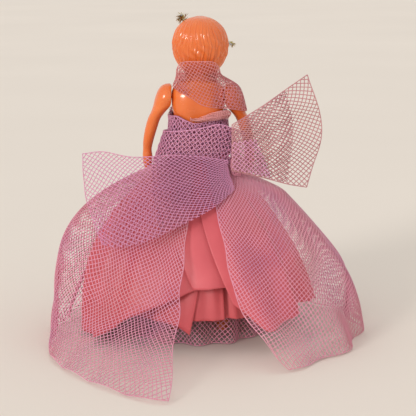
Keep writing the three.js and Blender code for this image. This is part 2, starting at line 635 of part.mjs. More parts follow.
add(doll, 'shoulder_elastic', limbElastic(armFace, SHOULDER_Z), ELASTIC);
add(doll, 'hip_elastic', limbElastic(legFace, HIP_Z), ELASTIC);
const neckGripZ = neckKnobZ + behindKnob;
const barHold = BAR_RADIUS + SEAM + ELASTIC_RADIUS;
const neckElasticPath = [
  V(-pass, 0, neckKnobZ),
  V(-hold * 0.95, hold * 0.35, neckGripZ),
  V(0, hold, neckGripZ),
  V(hold * 0.95, hold * 0.35, neckGripZ),
  V(pass, 0, neckKnobZ),
  V(pass, 0, lerp(neckKnobZ, TORSO_BAR_Z, 0.5)),
  V(barHold, 0, TORSO_BAR_Z + 1),
  V(barHold * 0.72, 0, TORSO_BAR_Z - barHold * 0.72),
  V(0, 0, TORSO_BAR_Z - barHold),
  V(-barHold * 0.72, 0, TORSO_BAR_Z - barHold * 0.72),
  V(-barHold, 0, TORSO_BAR_Z + 1),
  V(-pass, 0, lerp(neckKnobZ, TORSO_BAR_Z, 0.5)),
];
add(doll, 'neck_elastic', rod(neckElasticPath, ELASTIC_RADIUS, 36, 5, true), ELASTIC);

// Skirts: every layer hangs as a bell from its own oval at the waist, one pitch outside the last.
const waistWidth = HIP_HALF_WIDTH + 3 * FIT + 0.5;
const waistDepth = HIP_HALF_DEPTH + FIT + CLOTH / 2;

function waistRadius(degrees, layer) {
  const a = waistWidth + layer * LAYER_PITCH;
  const b = waistDepth + layer * LAYER_PITCH;
  return 1 / Math.hypot(Math.sin(rad(degrees)) / a, Math.cos(rad(degrees)) / b);
}

function bell(z, power = BELL_POWER) {
  const drop = THREE.MathUtils.clamp((SKIRT_TOP_Z - z) / SKIRT_TOP_Z, 0, 1);
  return 1 - (1 - drop) ** power;
}

function skirtPoint(degrees, z, layer, hemRadius) {
  const f = bell(z);
  return polar(degrees, lerp(waistRadius(degrees, layer), hemRadius, f), z);
}

const petticoatHemZ = HEM_LIFT + CLOTH / 2;
const petticoatRadius = (d) => {
  return PETTICOAT_HEM_RADIUS + PETTICOAT_FOLD_DEPTH * Math.cos(PETTICOAT_FOLDS * rad(d));
};
const petticoat = (u, v) => {
  const d = u * 360;
  return skirtPoint(d, lerp(SKIRT_TOP_Z, petticoatHemZ, v ** 1.1), 0, petticoatRadius(d));
};
add(doll, 'net_petticoat', sheet(petticoat, 4 * PETTICOAT_FOLDS, 4, true), NET);

const petticoatReach = PETTICOAT_HEM_RADIUS + PETTICOAT_FOLD_DEPTH;
const underskirtMiddle = petticoatReach + UNDERSKIRT_STANDOFF - UNDERSKIRT_FOLD_DEPTH;
const underskirtReach = underskirtMiddle + UNDERSKIRT_FOLD_DEPTH;
const underskirtRadius = (d) => {
  const wave = Math.cos(UNDERSKIRT_FOLDS * rad(d) + 0.6);
  return underskirtMiddle + UNDERSKIRT_FOLD_DEPTH * Math.sign(wave) * Math.abs(wave) ** 0.6;
};
const underskirt = (u, v) => {
  const d = u * 360;
  return skirtPoint(d, lerp(SKIRT_TOP_Z, UNDERSKIRT_HEM_Z, v ** 1.1), 1, underskirtRadius(d));
};
add(doll, 'satin_underskirt', sheet(underskirt, 6 * UNDERSKIRT_FOLDS, 4, true), SATIN);

const satinRadius = (d) => {
  const fold = SATIN_FOLD_DEPTH * Math.cos(SATIN_FOLDS * rad(d) + 0.8);
  return Math.max(through(SATIN_HEM, d, 2, 360) + fold, underskirtReach + LAYER_PITCH);
};
const satin = (u, v) => {
  const d = u * 360;
  return skirtPoint(d, lerp(SKIRT_TOP_Z, through(SATIN_HEM, d, 1, 360), v ** 1.1), 2, satinRadius(d));
};
add(doll, 'satin_skirt', sheet(satin, 64, 5, true), SATIN);

const overskirtHemZ = HEM_LIFT + CLOTH;
const overskirtRadius = (d, z) => {
  const f = bell(z, through(OVERSKIRT_HEM, d, 3));
  const drop = 1 - z / SKIRT_TOP_Z;
  const swell = smoothstep(drop, PUFF_START, PUFF_FULL) * (1 - smoothstep(drop, PUFF_END, 1));
  return lerp(waistRadius(d, 3), through(OVERSKIRT_HEM, d, 1), f) + through(OVERSKIRT_HEM, d, 4) * swell;
};
const overskirt = (u, v) => {
  const z = overskirtHemZ + (SKIRT_TOP_Z - overskirtHemZ) * (1 - v) ** 1.25;
  const swing = Math.max(0, 1 - z / 1.3 / TRAIN_START_Z) ** 1.3;
  const from = OVERSKIRT_HEM[0][0] + RIGHT_EDGE_SWING_DEG * swing;
  const d = lerp(from, OVERSKIRT_HEM.at(-1)[0] + LEFT_EDGE_SWING_DEG * swing, u);
  const f = bell(z);
  const train = through(OVERSKIRT_HEM, d, 2) * Math.max(0, 1 - z / TRAIN_START_Z) ** 1.5;
  const fold = u * (NET_GAPS_ACROSS + NET_BAR_SHARE) - NET_BAR_SHARE / 2;
  const wave = Math.cos(fold * 2 * Math.PI) * OVERSKIRT_FOLD_DEPTH * f ** 3;
  const lying = THREE.MathUtils.clamp(train / TRAIN_LYING, 0, 1);
  const r = overskirtRadius(d, z) + train + wave * (1 - lying);
  return polar(d, r, z + lying * Math.abs(wave) * 0.5);
};

// The net's openings, as a plain grid: each pitch of its grid is one cell of cloth, then the gap's cells.
const barred = (line, gaps, cells) => {
  const part = line % cells;
  const gapShare = (1 - NET_BAR_SHARE) / (cells - 1);
  const within = Math.min(part, 1) * NET_BAR_SHARE + Math.max(part - 1, 0) * gapShare;
  return (Math.floor(line / cells) + within) / (gaps + NET_BAR_SHARE);
};
const netColumns = 4 * NET_GAPS_ACROSS + 1;
const netRows = 2 * NET_GAPS_DOWN + 1;
const openNet = (u, v) => {
  const across = barred(u * netColumns, NET_GAPS_ACROSS, 4);
  return overskirt(across, barred(v * netRows, NET_GAPS_DOWN, 2));
};
const netGap = (i, j) => i % 4 > 0 && j % 2 > 0;
add(doll, 'net_overskirt', sheet(openNet, netColumns, netRows, false, netGap), NET);

// Waistband: a tape over the top edges of the skirts
const bandBaseZ = SKIRT_TOP_Z + CLOTH + SEAM;
const waistband = (u, v) => {
  const d = u * 360;
  return polar(d, waistRadius(d, 1.5), bandBaseZ + WAISTBAND_HEIGHT * (1 - v));
};
add(doll, 'waistband', sheet(waistband, 28, 1, true), SATIN);

// Bodice: net wrapped round the chest, its top edge dipping behind
const BODICE_TOP = [
  [-145, 3.0],
  [-85, -1.4],
  [-45, -1.0],
  [-8, -4.2],
  [30, -2.6],
  [85, -1.4],
  [145, 3.0],
];
const bodiceBaseZ = bandBaseZ + WAISTBAND_HEIGHT + FIT;
const bodiceTopZ = SHOULDER_Z - BODICE_DROP;
function bodicePoint(d, v, grow = 0) {
  const z = lerp(bodiceTopZ + through(BODICE_TOP, d, 1, 360), bodiceBaseZ, v);
  const gather = 0.25 * Math.cos(12 * rad(d) + 2 * v);
  const out = BODICE_STANDOFF + BODICE_FLARE * v ** 1.6 + gather + grow;
  const a = Math.min(torsoSize(z, 1), SHOULDER_FACE_X) + out;
  const b = torsoSize(z, 2) + BODICE_STANDOFF + 0.55 * (out - BODICE_STANDOFF);
  const r = 1 / Math.hypot(Math.sin(rad(d)) / a, Math.cos(rad(d)) / b);
  return polar(d, r, z);
}
add(doll, 'bodice_wrap', sheet((u, v) => bodicePoint(u * 360, v), 32, 3, true), NET);

// Rolled fold along the right of the bodice's top edge
const foldPath = [];
for (let d = -14; d <= 70; d += 12) {
  foldPath.push(bodicePoint(d, 0, 0.2).add(V(0, 0, FOLD_RADIUS + SEAM + CLOTH / 4)));
}
const foldTaper = (t) => FOLD_RADIUS * (0.35 + 0.65 * Math.sin(Math.PI * (0.12 + 0.76 * t)));
add(doll, 'bodice_fold', rod(foldPath, foldTaper, 12, 6), NET);

// Patch of cloth through a grid of points, with folds that fade towards its gathered end
function patch(grid, folds, depth) {
  const lines = grid.map((row) => new THREE.CatmullRomCurve3(row));
  return (u, v) => {
    const across = new THREE.CatmullRomCurve3(lines.map((line) => line.getPoint(v)));
    const p = across.getPoint(u);
    return p.add(V(0, depth * u * Math.cos(folds * v * 2 * Math.PI), 0));
  };
}

// Sash: a knot on the right hip, a wide end swept across the back and a shorter end standing out
const knotZ = SKIRT_TOP_Z - 1;
const knot = polar(
  KNOT_ANGLE_DEG,
  overskirtRadius(KNOT_ANGLE_DEG, knotZ - KNOT_RADIUS) + CLOTH / 2 + SEAM + KNOT_RADIUS,
  knotZ,
);
const knotShape = new THREE.SphereGeometry(KNOT_RADIUS, 12, 8);
add(doll, 'sash_knot', knotShape.scale(1, 1, 1.5).translate(knot.x, knot.y, knot.z), NET);

const waistBack = waistRadius(0, 3) + CLOTH + SEAM;
// Point of the left end, in shares of its reach, its bulge behind the waist and its drop
const leftPoint = (reach, bulge, rise) => {
  const behind = -waistBack - bulge * SASH_LEFT_BULGE;
  return V(-reach * SASH_LEFT_REACH, behind, SKIRT_TOP_Z + rise * SASH_LEFT_DROP);
};
// Point of the right end, in shares of its reach and rise, with its depth in knot radii
const rightPoint = (reach, depth, rise) => {
  const x = knot.x + reach * SASH_RIGHT_REACH;
  return V(x, knot.y - depth * KNOT_RADIUS, knot.z + rise * SASH_RIGHT_RISE);
};
const leftEnd = [
  [
    V(knot.x - 0.98 * KNOT_RADIUS, knot.y - 0.36 * KNOT_RADIUS, knot.z + 0.87 * KNOT_RADIUS),
    V(knot.x - 1.02 * KNOT_RADIUS, knot.y - 0.62 * KNOT_RADIUS, knot.z - 0.33 * KNOT_RADIUS),
    V(knot.x - 0.33 * KNOT_RADIUS, knot.y - 2.33 * KNOT_RADIUS, knot.z - 3.33 * KNOT_RADIUS),
  ],
  [leftPoint(-0.019, 0.088, 0.103), leftPoint(-0.057, 0.331, -0.206), leftPoint(-0.114, 0.632, -0.529)],
  [leftPoint(0.248, 0.088, 0.118), leftPoint(0.21, 0.441, -0.294), leftPoint(0.171, 0.853, -0.735)],
  [leftPoint(0.571, 0.129, 0.103), leftPoint(0.552, 0.632, -0.353), leftPoint(0.457, 1, -0.912)],
  [leftPoint(0.819, 0.154, 0.176), leftPoint(0.8, 0.559, -0.412), leftPoint(0.686, 0.89, -1)],
  [leftPoint(1, 0.154, 0.147), leftPoint(0.962, 0.412, -0.412), leftPoint(0.819, 0.669, -1)],
];
add(doll, 'sash_left_end', sheet(patch(leftEnd, 3, 1.1), 14, 9), NET);

const rightEnd = [
  [
    rightPoint(0.085, -1.27, 0.53),
    rightPoint(0.073, 1.07, 0.253),
    V(knot.x + 0.57 * KNOT_RADIUS, knot.y - 0.83 * KNOT_RADIUS, knot.z - KNOT_RADIUS),
  ],
  [rightPoint(0.293, -0.27, 0.651), rightPoint(0.319, 0.57, 0.265), rightPoint(0.319, 1.07, -0.12)],
  [rightPoint(0.578, 0.07, 0.843), rightPoint(0.668, 0.07, 0.386), rightPoint(0.604, 0.73, -0.193)],
  [rightPoint(0.821, 0.07, 1), rightPoint(1, -0.27, 0.41), rightPoint(0.826, 0.4, -0.229)],
];
add(doll, 'sash_right_end', sheet(patch(rightEnd, 2.5, 1.4), 9, 10), NET);

// Shawl: a roll of net round the neck, draped over the upper back, chest and right arm
const collarPath = [];
const behindNeck = (t) => ((1 + Math.cos(2 * Math.PI * t)) / 2) ** 2;
const collarRadius = (t) => lerp(COLLAR_FRONT_RADIUS, COLLAR_RADIUS, behindNeck(t));
for (let i = 0; i < 16; i += 1) {
  const t = i / 16;
  const r = NECK_RADIUS + 2 * FIT + collarRadius(t) + COLLAR_SWEEP * behindNeck(t);
  const z = HEAD_BASE_Z - 2 * FIT - collarRadius(t) + COLLAR_RISE * behindNeck(t);
  collarPath.push(polar(360 * t, r, z));
}
add(doll, 'shawl_collar', rod(collarPath, (t) => collarRadius(t), 30, 7, true), NET);

// [x, top, bottom] across the shoulders, in shoulder radii above the shoulder's axis
const SHAWL_EDGES = [
  [-SHOULDER_FACE_X + 2 * SEAM, 0.968, 0.645],
  [-0.71 * SHOULDER_FACE_X, 1.161, 0.419],
  [-0.33 * SHOULDER_FACE_X, 1.226, 0.097],
  [0.21 * SHOULDER_FACE_X, 1.226, -0.452],
  [0.71 * SHOULDER_FACE_X, 1.161, -0.613],
  [SHOULDER_FACE_X - SEAM / 3, 0.968, -0.677],
];

function shawl(side, lift) {
  return (u, v) => {
    const x = lerp(SHAWL_EDGES[0][0], SHAWL_EDGES.at(-1)[0], u);
    const rise = lerp(through(SHAWL_EDGES, x, 1), through(SHAWL_EDGES, x, 2) + lift, v);
    const z = SHOULDER_Z + rise * SHOULDER_RADIUS;
    const a = torsoSize(z, 1) + 2 * SHAWL_STANDOFF;
    const b = torsoSize(z, 2) + SHAWL_STANDOFF;
    const y = b * Math.sqrt(Math.max(0.04, 1 - (x / a) ** 2));
    return V(x, torsoSize(z, 3) + side * (y + 0.25 * Math.cos(9 * u + 5 * v)), z);
  };
}
add(doll, 'shawl_back', sheet(shawl(-1, 0), 10, 4), NET);
add(doll, 'shawl_front', sheet(shawl(1, 0.242), 10, 4), NET);

// Net over the right upper arm, which goes with the arm
const sleeveTop = armTop - 0.4;
const sleeveHem = SHOULDER_Z - 6.2;
const sleeve = (u, v) => {
  const z = lerp(sleeveTop, sleeveHem, v);
  const rows = ARM_SHAPE.map((row) => [-row[0], ...row.slice(1)]);
  const section = [z, ...[1, 2, 3, 4, 5].map((k) => through(rows, -z, k))];
  const a = lerp(-1.8, 1.8, u);
  return limbRing(section, SLEEVE_STANDOFF, a, a, 1, true)[0];
};
add(doll, 'shawl_sleeve', sheet(sleeve, 10, 4), NET);

export default doll;
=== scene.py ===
import json
import math
from functools import partial

import bpy
import numpy as np
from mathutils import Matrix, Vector


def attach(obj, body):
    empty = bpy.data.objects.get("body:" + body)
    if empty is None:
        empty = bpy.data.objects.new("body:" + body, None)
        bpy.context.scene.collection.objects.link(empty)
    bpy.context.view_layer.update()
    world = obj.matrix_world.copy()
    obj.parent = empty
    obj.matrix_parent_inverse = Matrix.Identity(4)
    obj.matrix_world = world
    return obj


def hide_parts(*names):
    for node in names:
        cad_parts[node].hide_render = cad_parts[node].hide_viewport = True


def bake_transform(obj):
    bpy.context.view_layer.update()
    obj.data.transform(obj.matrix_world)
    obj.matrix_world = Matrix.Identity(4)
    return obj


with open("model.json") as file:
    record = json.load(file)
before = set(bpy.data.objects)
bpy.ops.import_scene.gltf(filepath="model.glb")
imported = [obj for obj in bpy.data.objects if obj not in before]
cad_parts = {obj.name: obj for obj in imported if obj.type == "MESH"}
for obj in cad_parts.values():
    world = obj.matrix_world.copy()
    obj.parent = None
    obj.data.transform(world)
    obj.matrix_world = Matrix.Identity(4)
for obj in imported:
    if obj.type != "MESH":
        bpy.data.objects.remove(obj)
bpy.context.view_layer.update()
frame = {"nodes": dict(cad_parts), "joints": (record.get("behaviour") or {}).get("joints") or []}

# Sizes in millimetres and angles in degrees, unless a heading says otherwise
MM = 0.001
JOINTS = {joint["name"]: joint for joint in frame["joints"]}
HIP_Z = JOINTS["right_hip_swing"]["pos_m"][2] / MM
HEAD_BASE_Z = JOINTS["neck_turn"]["pos_m"][2] / MM

# Camera, floor and light
CAMERA_AIM = (4.5, 0, 58.5)
CAMERA_DISTANCE = 620
CAMERA_ELEVATION = 11.3
CAMERA_LENS = 113.9
CAMERA_SENSOR = 36
CAMERA_CLIP_METRES = 50
FLOOR_HALF_SIZE = 15000
KEY_FROM = (-0.62, -0.85, 0.36)
KEY_STRENGTH = 1.3
KEY_SPREAD = 16
KEY_COLOUR = (1, 0.97, 0.93)
SKY_STRENGTH = 0.8
SKY_COLOUR = (1, 0.975, 0.94, 1)

# The part of a noise's range over which a look varies
NOISE_LOW = 0.3
NOISE_HIGH = 0.7

# Nets and satin, and the steps that lay them out
NET_PITCH = 1.75
NET_THREAD = 0.21
FINE_THREAD = 0.17
NET_STEP = 1.9
NET_SWAY = 0.35
FLAT_COLUMNS = 61
FLAT_ROWS = 16
FLATTEN_ROUNDS = 25
SEARCH_STEP = 3
SEARCH_ROUNDS = 12
SEARCH_MISS = 0.05
TRIM_ROUNDS = 6
EDGE_SAMPLES = 120
SATIN_THICKNESS = 0.28

# Edges of a cloth: where along and down it each one begins and ends
EDGES = {"upper": (0, 0, 1, 0), "lower": (0, 1, 1, 1), "start": (0, 0, 0, 1), "end": (1, 0, 1, 1)}

# Skirts, and the tape that they are gathered on
SKIRT_TOP_Z = 82
WAIST_HALF_WIDTH = 12.05
WAIST_HALF_DEPTH = 9.15
LAYER_PITCH = 1.25
BELL_POWER = 1.8
FALL_POWER = 1.1

TAPE_TOP_Z = 85.5
TAPE_HEIGHT = 2.6
TAPE_THICKNESS = 0.6
TAPE_RIBS = 60
TAPE_RIB_DEPTH = 0.12
TAPE_LENGTH = 79.2

PETTICOAT_HEM_Z = 0.6
PETTICOAT_HEM_RADIUS = 29
PETTICOAT_FOLDS = 12
PETTICOAT_FOLD_DEPTH = 1.9

OVERSKIRT_HEM_Z = 0.9
OVERSKIRT_FOLDS = 12.27
OVERSKIRT_FIRST_FOLD = 0.135
OVERSKIRT_FOLD_DEPTH = 2.4
TRAIN_START_Z = 24
TRAIN_LYING = 6
EDGE_SWING_Z = 31.2
RIGHT_EDGE_SWING = 13.5
LEFT_EDGE_SWING = 3

# Head
HEAD_HEIGHT = 25.8
HEAD_MIDDLE = 0.48
HEAD_HALF_WIDTH = 12.85
HEAD_HALF_DEPTH = 13.5
HEAD_TURN = -17
HEAD_SHIFT = 0.9
NECK_SOCKET_RADIUS = 6.1
NECK_SOCKET_DEPTH = 2.6

# Crown: turns in radians from the face, shares of the head's height, and its strips
CROWN_START = -1.62
CROWN_END = 1.2
CROWN_LOW_TURN = 1.1
CROWN_LOW = 0.488
CROWN_HIGH = 0.953
CROWN_GAP = 2.35
CROWN_STRIPS = 420
STRIP_POINTS = 4
STRIP_HALF_WIDTH = 0.2

# Bodice, collar and shawl
BODICE_HALF_TURN = 186
BODICE_MEAN_TOP_Z = 103.85
BODICE_HEM_Z = 85.85
BODICE_CLEAR = 1.9
BODICE_FLARE = 8
BODICE_TUCK = 3.2
BODICE_DEPTH_SHARE = 0.55
FOLD_START = -14
FOLD_END = 70
FOLD_LIFT = 1.75
COLLAR_FRONT_Z = 117.2
COLLAR_BACK_Z = 119.4
COLLAR_LEAST_RADIUS = 8
COLLAR_TURN_IN = 0.2
SHAWL_COLUMNS = 179
SHAWL_ROWS = 41
SHAWL_LEAST_RADIUS = 7.4

# Where the limbs meet the torso, and the middle of the hand
SHOULDER_FACE_X = 12
HIP_FACE_X = 7.4
HAND_X = 23.9

# Painted face: across from its middle, and up from the head's base
FACE_RADIUS = 13
EYE_X = 4.4
EYE_Z = 11.2
LIP_Z = 5.5

# Overskirt: angle from the back, hem radius, train, bell power, puff below the waist
OVERSKIRT_HEM = [
    [17, 74, 7, 1.12, 0],
    [40, 75, 2, 1.35, 1.5],
    [62, 76, 1, 1.55, 6.5],
    [90, 76.5, 0, 1.4, 9.5],
    [120, 74, 0, 1.6, 6],
    [180, 72, 0, 1.7, 1],
    [235, 70, 0, 1.6, 0],
    [257, 67.5, 0, 1.5, 0],
    [268, 68, 0, 1.9, 0],
    [286, 69, 2, 4.8, 0],
    [308, 70.5, 12, 1.7, 0],
    [330, 69, 26, 1.12, 0],
    [351, 70, 42, 1.0, 0],
]

# Satin skirt along its cloth: angle at the waist, angle at the hem, hem radius, hem height
SATIN_PATH = [
    [-8, 20, 49.5, 23.5],
    [8, 27, 51.5, 18.5],
    [28, 36, 55, 11],
    [52, 52, 56, 15],
    [66, 66, 56, 18.5],
    [100, 100, 55, 13],
    [150, 150, 54, 10],
    [210, 210, 54, 10],
    [260, 260, 53, 7],
    [296, 296, 53.5, 2],
    [318, 318, 50, 14.5],
    [333, 336, 46.5, 21.5],
    [341, 347, 43.2, 25],
    [346, 357, 42.2, 28],
    [350, 366, 42.2, 28.6],
    [346, 367.5, 42.8, 28.6],
    [330, 362, 43.6, 28.8],
    [316, 356.6, 44.3, 28.9],
    [317, 357, 45, 29],
    [335, 366, 45.2, 29.2],
    [356, 378, 45.6, 29.6],
    [368, 392, 46, 27],
]

# Underskirt along its cloth: the same columns
UNDERSKIRT_PATH = [
    [-180, -180, 36, 12],
    [-150, -150, 37.4, 12],
    [-130, -130, 35, 12],
    [-110, -110, 37.4, 12],
    [-90, -90, 35, 12],
    [-70, -70, 37.4, 12],
    [-50, -50, 35.4, 12],
    [-32, -32, 37.4, 12.5],
    [-16, -18, 38.2, 11.8],
    [8, -9, 38.7, 9.4],
    [17, -5.6, 38.7, 7.8],
    [16, -6, 37.8, 9.5],
    [4, -13, 36.8, 13],
    [2, -14, 36.2, 13.4],
    [10, 0, 36.9, 13.6],
    [20, 18.6, 37.3, 13.6],
    [21, 20, 36.6, 13.6],
    [18, 17, 34.4, 13.6],
    [20, 19, 33.6, 13.6],
    [24, 24, 34.6, 13.6],
    [30, 31, 36.6, 13.2],
    [50, 50, 35.2, 12.5],
    [70, 70, 37.4, 12],
    [90, 90, 35, 12],
    [110, 110, 37.4, 12],
    [130, 130, 35, 12],
    [150, 150, 37.4, 12],
    [180, 180, 36, 12],
]

# Head: share of the height, half width share, half depth share, forward shift
HEAD_SHAPE = [
    [0, 0.56, 0.56, 0],
    [0.06, 0.68, 0.66, 0.1],
    [0.17, 0.83, 0.82, 0.5],
    [0.32, 0.95, 0.95, 0.5],
    [0.48, 1, 1, 0.2],
    [0.64, 0.965, 0.975, 0],
    [0.78, 0.85, 0.86, -0.2],
    [0.89, 0.64, 0.65, -0.3],
    [0.96, 0.4, 0.41, -0.3],
    [1, 0.1, 0.1, -0.3],
]

# Torso: height, half width, half depth, forward shift
TORSO_SHAPE = [
    [63.5, 3, 3.2, 0],
    [66, 6.5, 6.4, 0],
    [71.5, 9.765, 8.5, -0.2],
    [79, 10.5, 8.3, -0.2],
    [86, 9.7, 7.4, 0],
    [92, 9.2, 6.8, 0],
    [99, 10.6, 7.4, 0.3],
    [106, 12.1, 8.2, 0.4],
    [111, 12.4, 7.7, 0],
    [115.4, 11.6, 6.4, -0.2],
    [118.2, 8.6, 5.8, -0.2],
    [119.8, 6.2, 5.6, 0],
    [124.4, 5.6, 5.6, 0],
]

# Right arm: height, inner x, outer x, half depth, forward shift, flat share of the inner side
ARM_SHAPE = [
    [117.2, 13.05, 14.95, 1.1, 0, 0.5],
    [116.4, 12.35, 16.75, 3.1, 0, 1.6],
    [114.4, 12.35, 18.55, 5.08, 0, 2.6],
    [111, 12.35, 19.95, 6.2, 0, 3],
    [107.4, 12.85, 20.85, 5.27, 0, 1.5],
    [104.6, 14.95, 21.75, 4.46, 0, 0.3],
    [101, 17.45, 23.45, 3.6, 0.2, 0],
    [96, 19.25, 24.85, 3.2, 0.7, 0],
    [90, 21.05, 25.85, 2.8, 1.4, 0],
    [86.2, 21.85, 25.95, 2.2, 2, 0],
    [83.2, 21.55, 26.15, 2.9, 2.5, 0],
    [79.6, 21.75, 25.95, 2.8, 3, 0],
    [77.2, 22.65, 25.15, 1.4, 3.2, 0],
]

# Right leg: the same columns
LEG_SHAPE = [
    [77.9, 8.75, 10.15, 1.2, 0, 0.5],
    [77, 7.75, 11.49, 3.2, 0, 1.6],
    [74.9, 7.75, 13.33, 5.38, 0, 2.4],
    [71.5, 7.75, 14.55, 6.4, 0, 2.6],
    [65.5, 7.75, 14.55, 5.89, 0, 1.4],
    [51.5, 7.75, 14.28, 5.2, 0.3, 0.2],
    [37.2, 7.85, 14.05, 4.1, 0.5, 0],
    [25.7, 7.85, 14.15, 4, 0, 0],
    [10.7, 8.25, 14.05, 3, 0, 0],
    [5.6, 8.05, 14.25, 3.2, 0.4, 0],
    [4.4, 7.85, 14.45, 5.4, 2.4, 0],
    [2.9, 7.85, 14.45, 6.6, 2.7, 0],
    [1.3, 7.85, 14.45, 7, 2.8, 0],
    [0, 8.1, 14.2, 6.6, 2.7, 0],
]

# Bodice's upper edge: angle from the back, height over its mean
BODICE_TOP = [
    [-145, 3],
    [-85, -1.4],
    [-45, -1],
    [-8, -4.2],
    [30, -2.6],
    [85, -1.4],
    [145, 3],
]

# Cowl's upper edge: angle from the back on either side, radius, height
COWL_TOP = [
    [0, 13.6, 128.6],
    [25, 13.5, 128.4],
    [35, 13.2, 127.5],
    [46, 11.7, 125.1],
    [60, 10.1, 123.2],
    [77, 9.1, 122.1],
    [95, 8.8, 121.8],
    [180, 8.4, 121.4],
]

# Shawl's lower edge: angle from the back, height
SHAWL_HEM = [
    [-96, 116.8],
    [-75, 115.8],
    [-45, 113.4],
    [-20, 111.4],
    [10, 108.4],
    [40, 107],
    [62, 106.4],
    [80, 105],
    [100, 104.6],
    [118, 107.2],
    [140, 108.8],
    [170, 109.7],
    [200, 113],
    [225, 115],
    [260, 118],
]

# Sash ends: rows from the knot to the free end, each with its upper, middle and lower point
SASH_LEFT = [
    [[13.8, -15.2, 83.6], [13.8, -16.2, 80], [16.7, -20.8, 71]],
    [[1, -16.2, 85.5], [3, -22.8, 75], [6, -31, 64]],
    [[-13, -16.2, 86], [-11, -25.8, 72], [-9, -37, 57]],
    [[-30, -17.3, 85.5], [-29, -31, 70], [-24, -41, 51]],
    [[-43, -18, 88], [-42, -29, 68], [-36, -38, 48]],
    [[-52.5, -18, 87], [-50.5, -25, 68], [-43, -32, 48]],
]
SASH_RIGHT = [
    [[15.5, -11.5, 99.5], [15.5, -15.6, 90.5], [15.5, -18.4, 79.5]],
    [[29, -13, 108], [30, -15.5, 92], [30, -17, 76]],
    [[40, -14, 116], [43.5, -14, 97], [41, -16, 73]],
    [[49.4, -14, 122.5], [56.3, -13, 98], [49.6, -15, 71.5]],
]
# Sash round the waist: angle from the back, upper radius and height, lower radius and height
SASH_WRAP = [
    [-285, 16, 96, 19, 83],
    [-270, 16.2, 95.6, 19.6, 82.6],
    [-240, 15.4, 95.2, 18.6, 83],
    [-210, 13.9, 95, 16.8, 84],
    [-180, 13.1, 95, 15.9, 84.6],
    [-150, 14, 95, 17.2, 84.4],
    [-105, 16.2, 95, 20, 82],
    [-76, 16, 95.5, 21.2, 81],
    [-50, 14.4, 96.2, 19.2, 81.6],
    [-20, 12.4, 97, 15, 84],
    [20, 12.6, 98.5, 15.2, 84],
    [45, 15.2, 99.5, 17.4, 82],
    [62, 20.5, 97, 21.5, 79],
    [76, 25.5, 94.5, 27.4, 77],
]
KNOT_CENTRE = (17.7, -13.83, 81)
KNOT_RADII = (3, 3, 5.2)


# Numbers and curves
def lerp(a, b, t):
    return a + (b - a) * t


def clamp(x, low=0.0, high=1.0):
    return np.minimum(np.maximum(x, low), high)


def smooth(x, low, high):
    t = clamp((x - low) / (high - low))
    return t * t * (3 - 2 * t)


def bump(x, width):
    return np.exp(-((x / width) ** 2))


def unit(vectors):
    length = np.linalg.norm(vectors, axis=-1, keepdims=True)
    return vectors / np.maximum(length, 1e-9)


def stacked(x, y, z):
    return np.stack(np.broadcast_arrays(x, y, z), axis=-1).astype(float)


def polar(degrees, radius, z):
    turn = np.radians(degrees)
    return stacked(radius * np.sin(turn), -radius * np.cos(turn), z)


def oval(degrees, half_width, half_depth):
    """How far out an oval is along directions given as angles from the back."""
    turn = np.radians(degrees)
    return 1 / np.hypot(np.sin(turn) / half_width, np.cos(turn) / half_depth)


def lengths(points):
    """The length of the line down each column of points."""
    return np.linalg.norm(np.diff(points, axis=0), axis=-1).sum(0)


def bilinear(grid, across, down):
    """A grid's values at places between its columns and rows, with their slopes both ways."""
    i = np.clip(across.astype(int), 0, grid.shape[1] - 2)
    j = np.clip(down.astype(int), 0, grid.shape[0] - 2)
    s, t = across - i, down - j
    upper, lower = grid[j, i], grid[j + 1, i]
    over_upper, over_lower = grid[j, i + 1] - upper, grid[j + 1, i + 1] - lower
    over = lerp(over_upper, over_lower, t)
    fall = lower - upper + s * (over_lower - over_upper)
    return lerp(upper, lower, t) + s * over, over, fall


def ring_grid(sides, low, high, rows, first_turn=0):
    """Turns round an axis and levels along it, for rings of points."""
    turns = first_turn + np.linspace(0, math.tau, sides, endpoint=False)
    return np.meshgrid(turns, np.linspace(low, high, rows))


def even_grid(columns, rows):
    """Places spread evenly over a cloth, row by row: u across and v down."""
    u, v = np.meshgrid(np.linspace(0, 1, columns), np.linspace(0, 1, rows))
    return u.ravel(), v.ravel()


def hermite(t, y0, y1, m0, m1):
    return (
        y0 * (1 + 2 * t) * (1 - t) ** 2
        + y1 * t * t * (3 - 2 * t)
        + m0 * t * (1 - t) ** 2
        + m1 * t * t * (t - 1)
    )


def through(rows, x, column=1, period=None):
    """A smooth curve through a table's rows: the first column is x, another one the value."""
    table = np.array(rows, float)
    table = table[np.argsort(table[:, 0])]
    xs = table[:, 0]
    ys = table[:, column]
    if period:
        x = (x - xs[0]) % period + xs[0]
        xs = np.concatenate([[xs[-1] - period], xs, xs[:2] + period])
        ys = np.concatenate([[ys[-1]], ys, ys[:2]])
    slopes = np.empty_like(ys)
    slopes[1:-1] = (ys[2:] - ys[:-2]) / (xs[2:] - xs[:-2])
    slopes[0] = (ys[1] - ys[0]) / (xs[1] - xs[0])
    slopes[-1] = (ys[-1] - ys[-2]) / (xs[-1] - xs[-2])
    x = clamp(x, xs[0], xs[-1])
    i = np.clip(np.searchsorted(xs, x, "right") - 1, 0, len(xs) - 2)
    gap = xs[i + 1] - xs[i]
    return hermite((x - xs[i]) / gap, ys[i], ys[i + 1], slopes[i] * gap, slopes[i + 1] * gap)


def row_at(rows, x):
    """A table's row at any x: the value there of the smooth curve through each column."""
    return [through(rows, x, column) for column in range(1, len(rows[0]))]


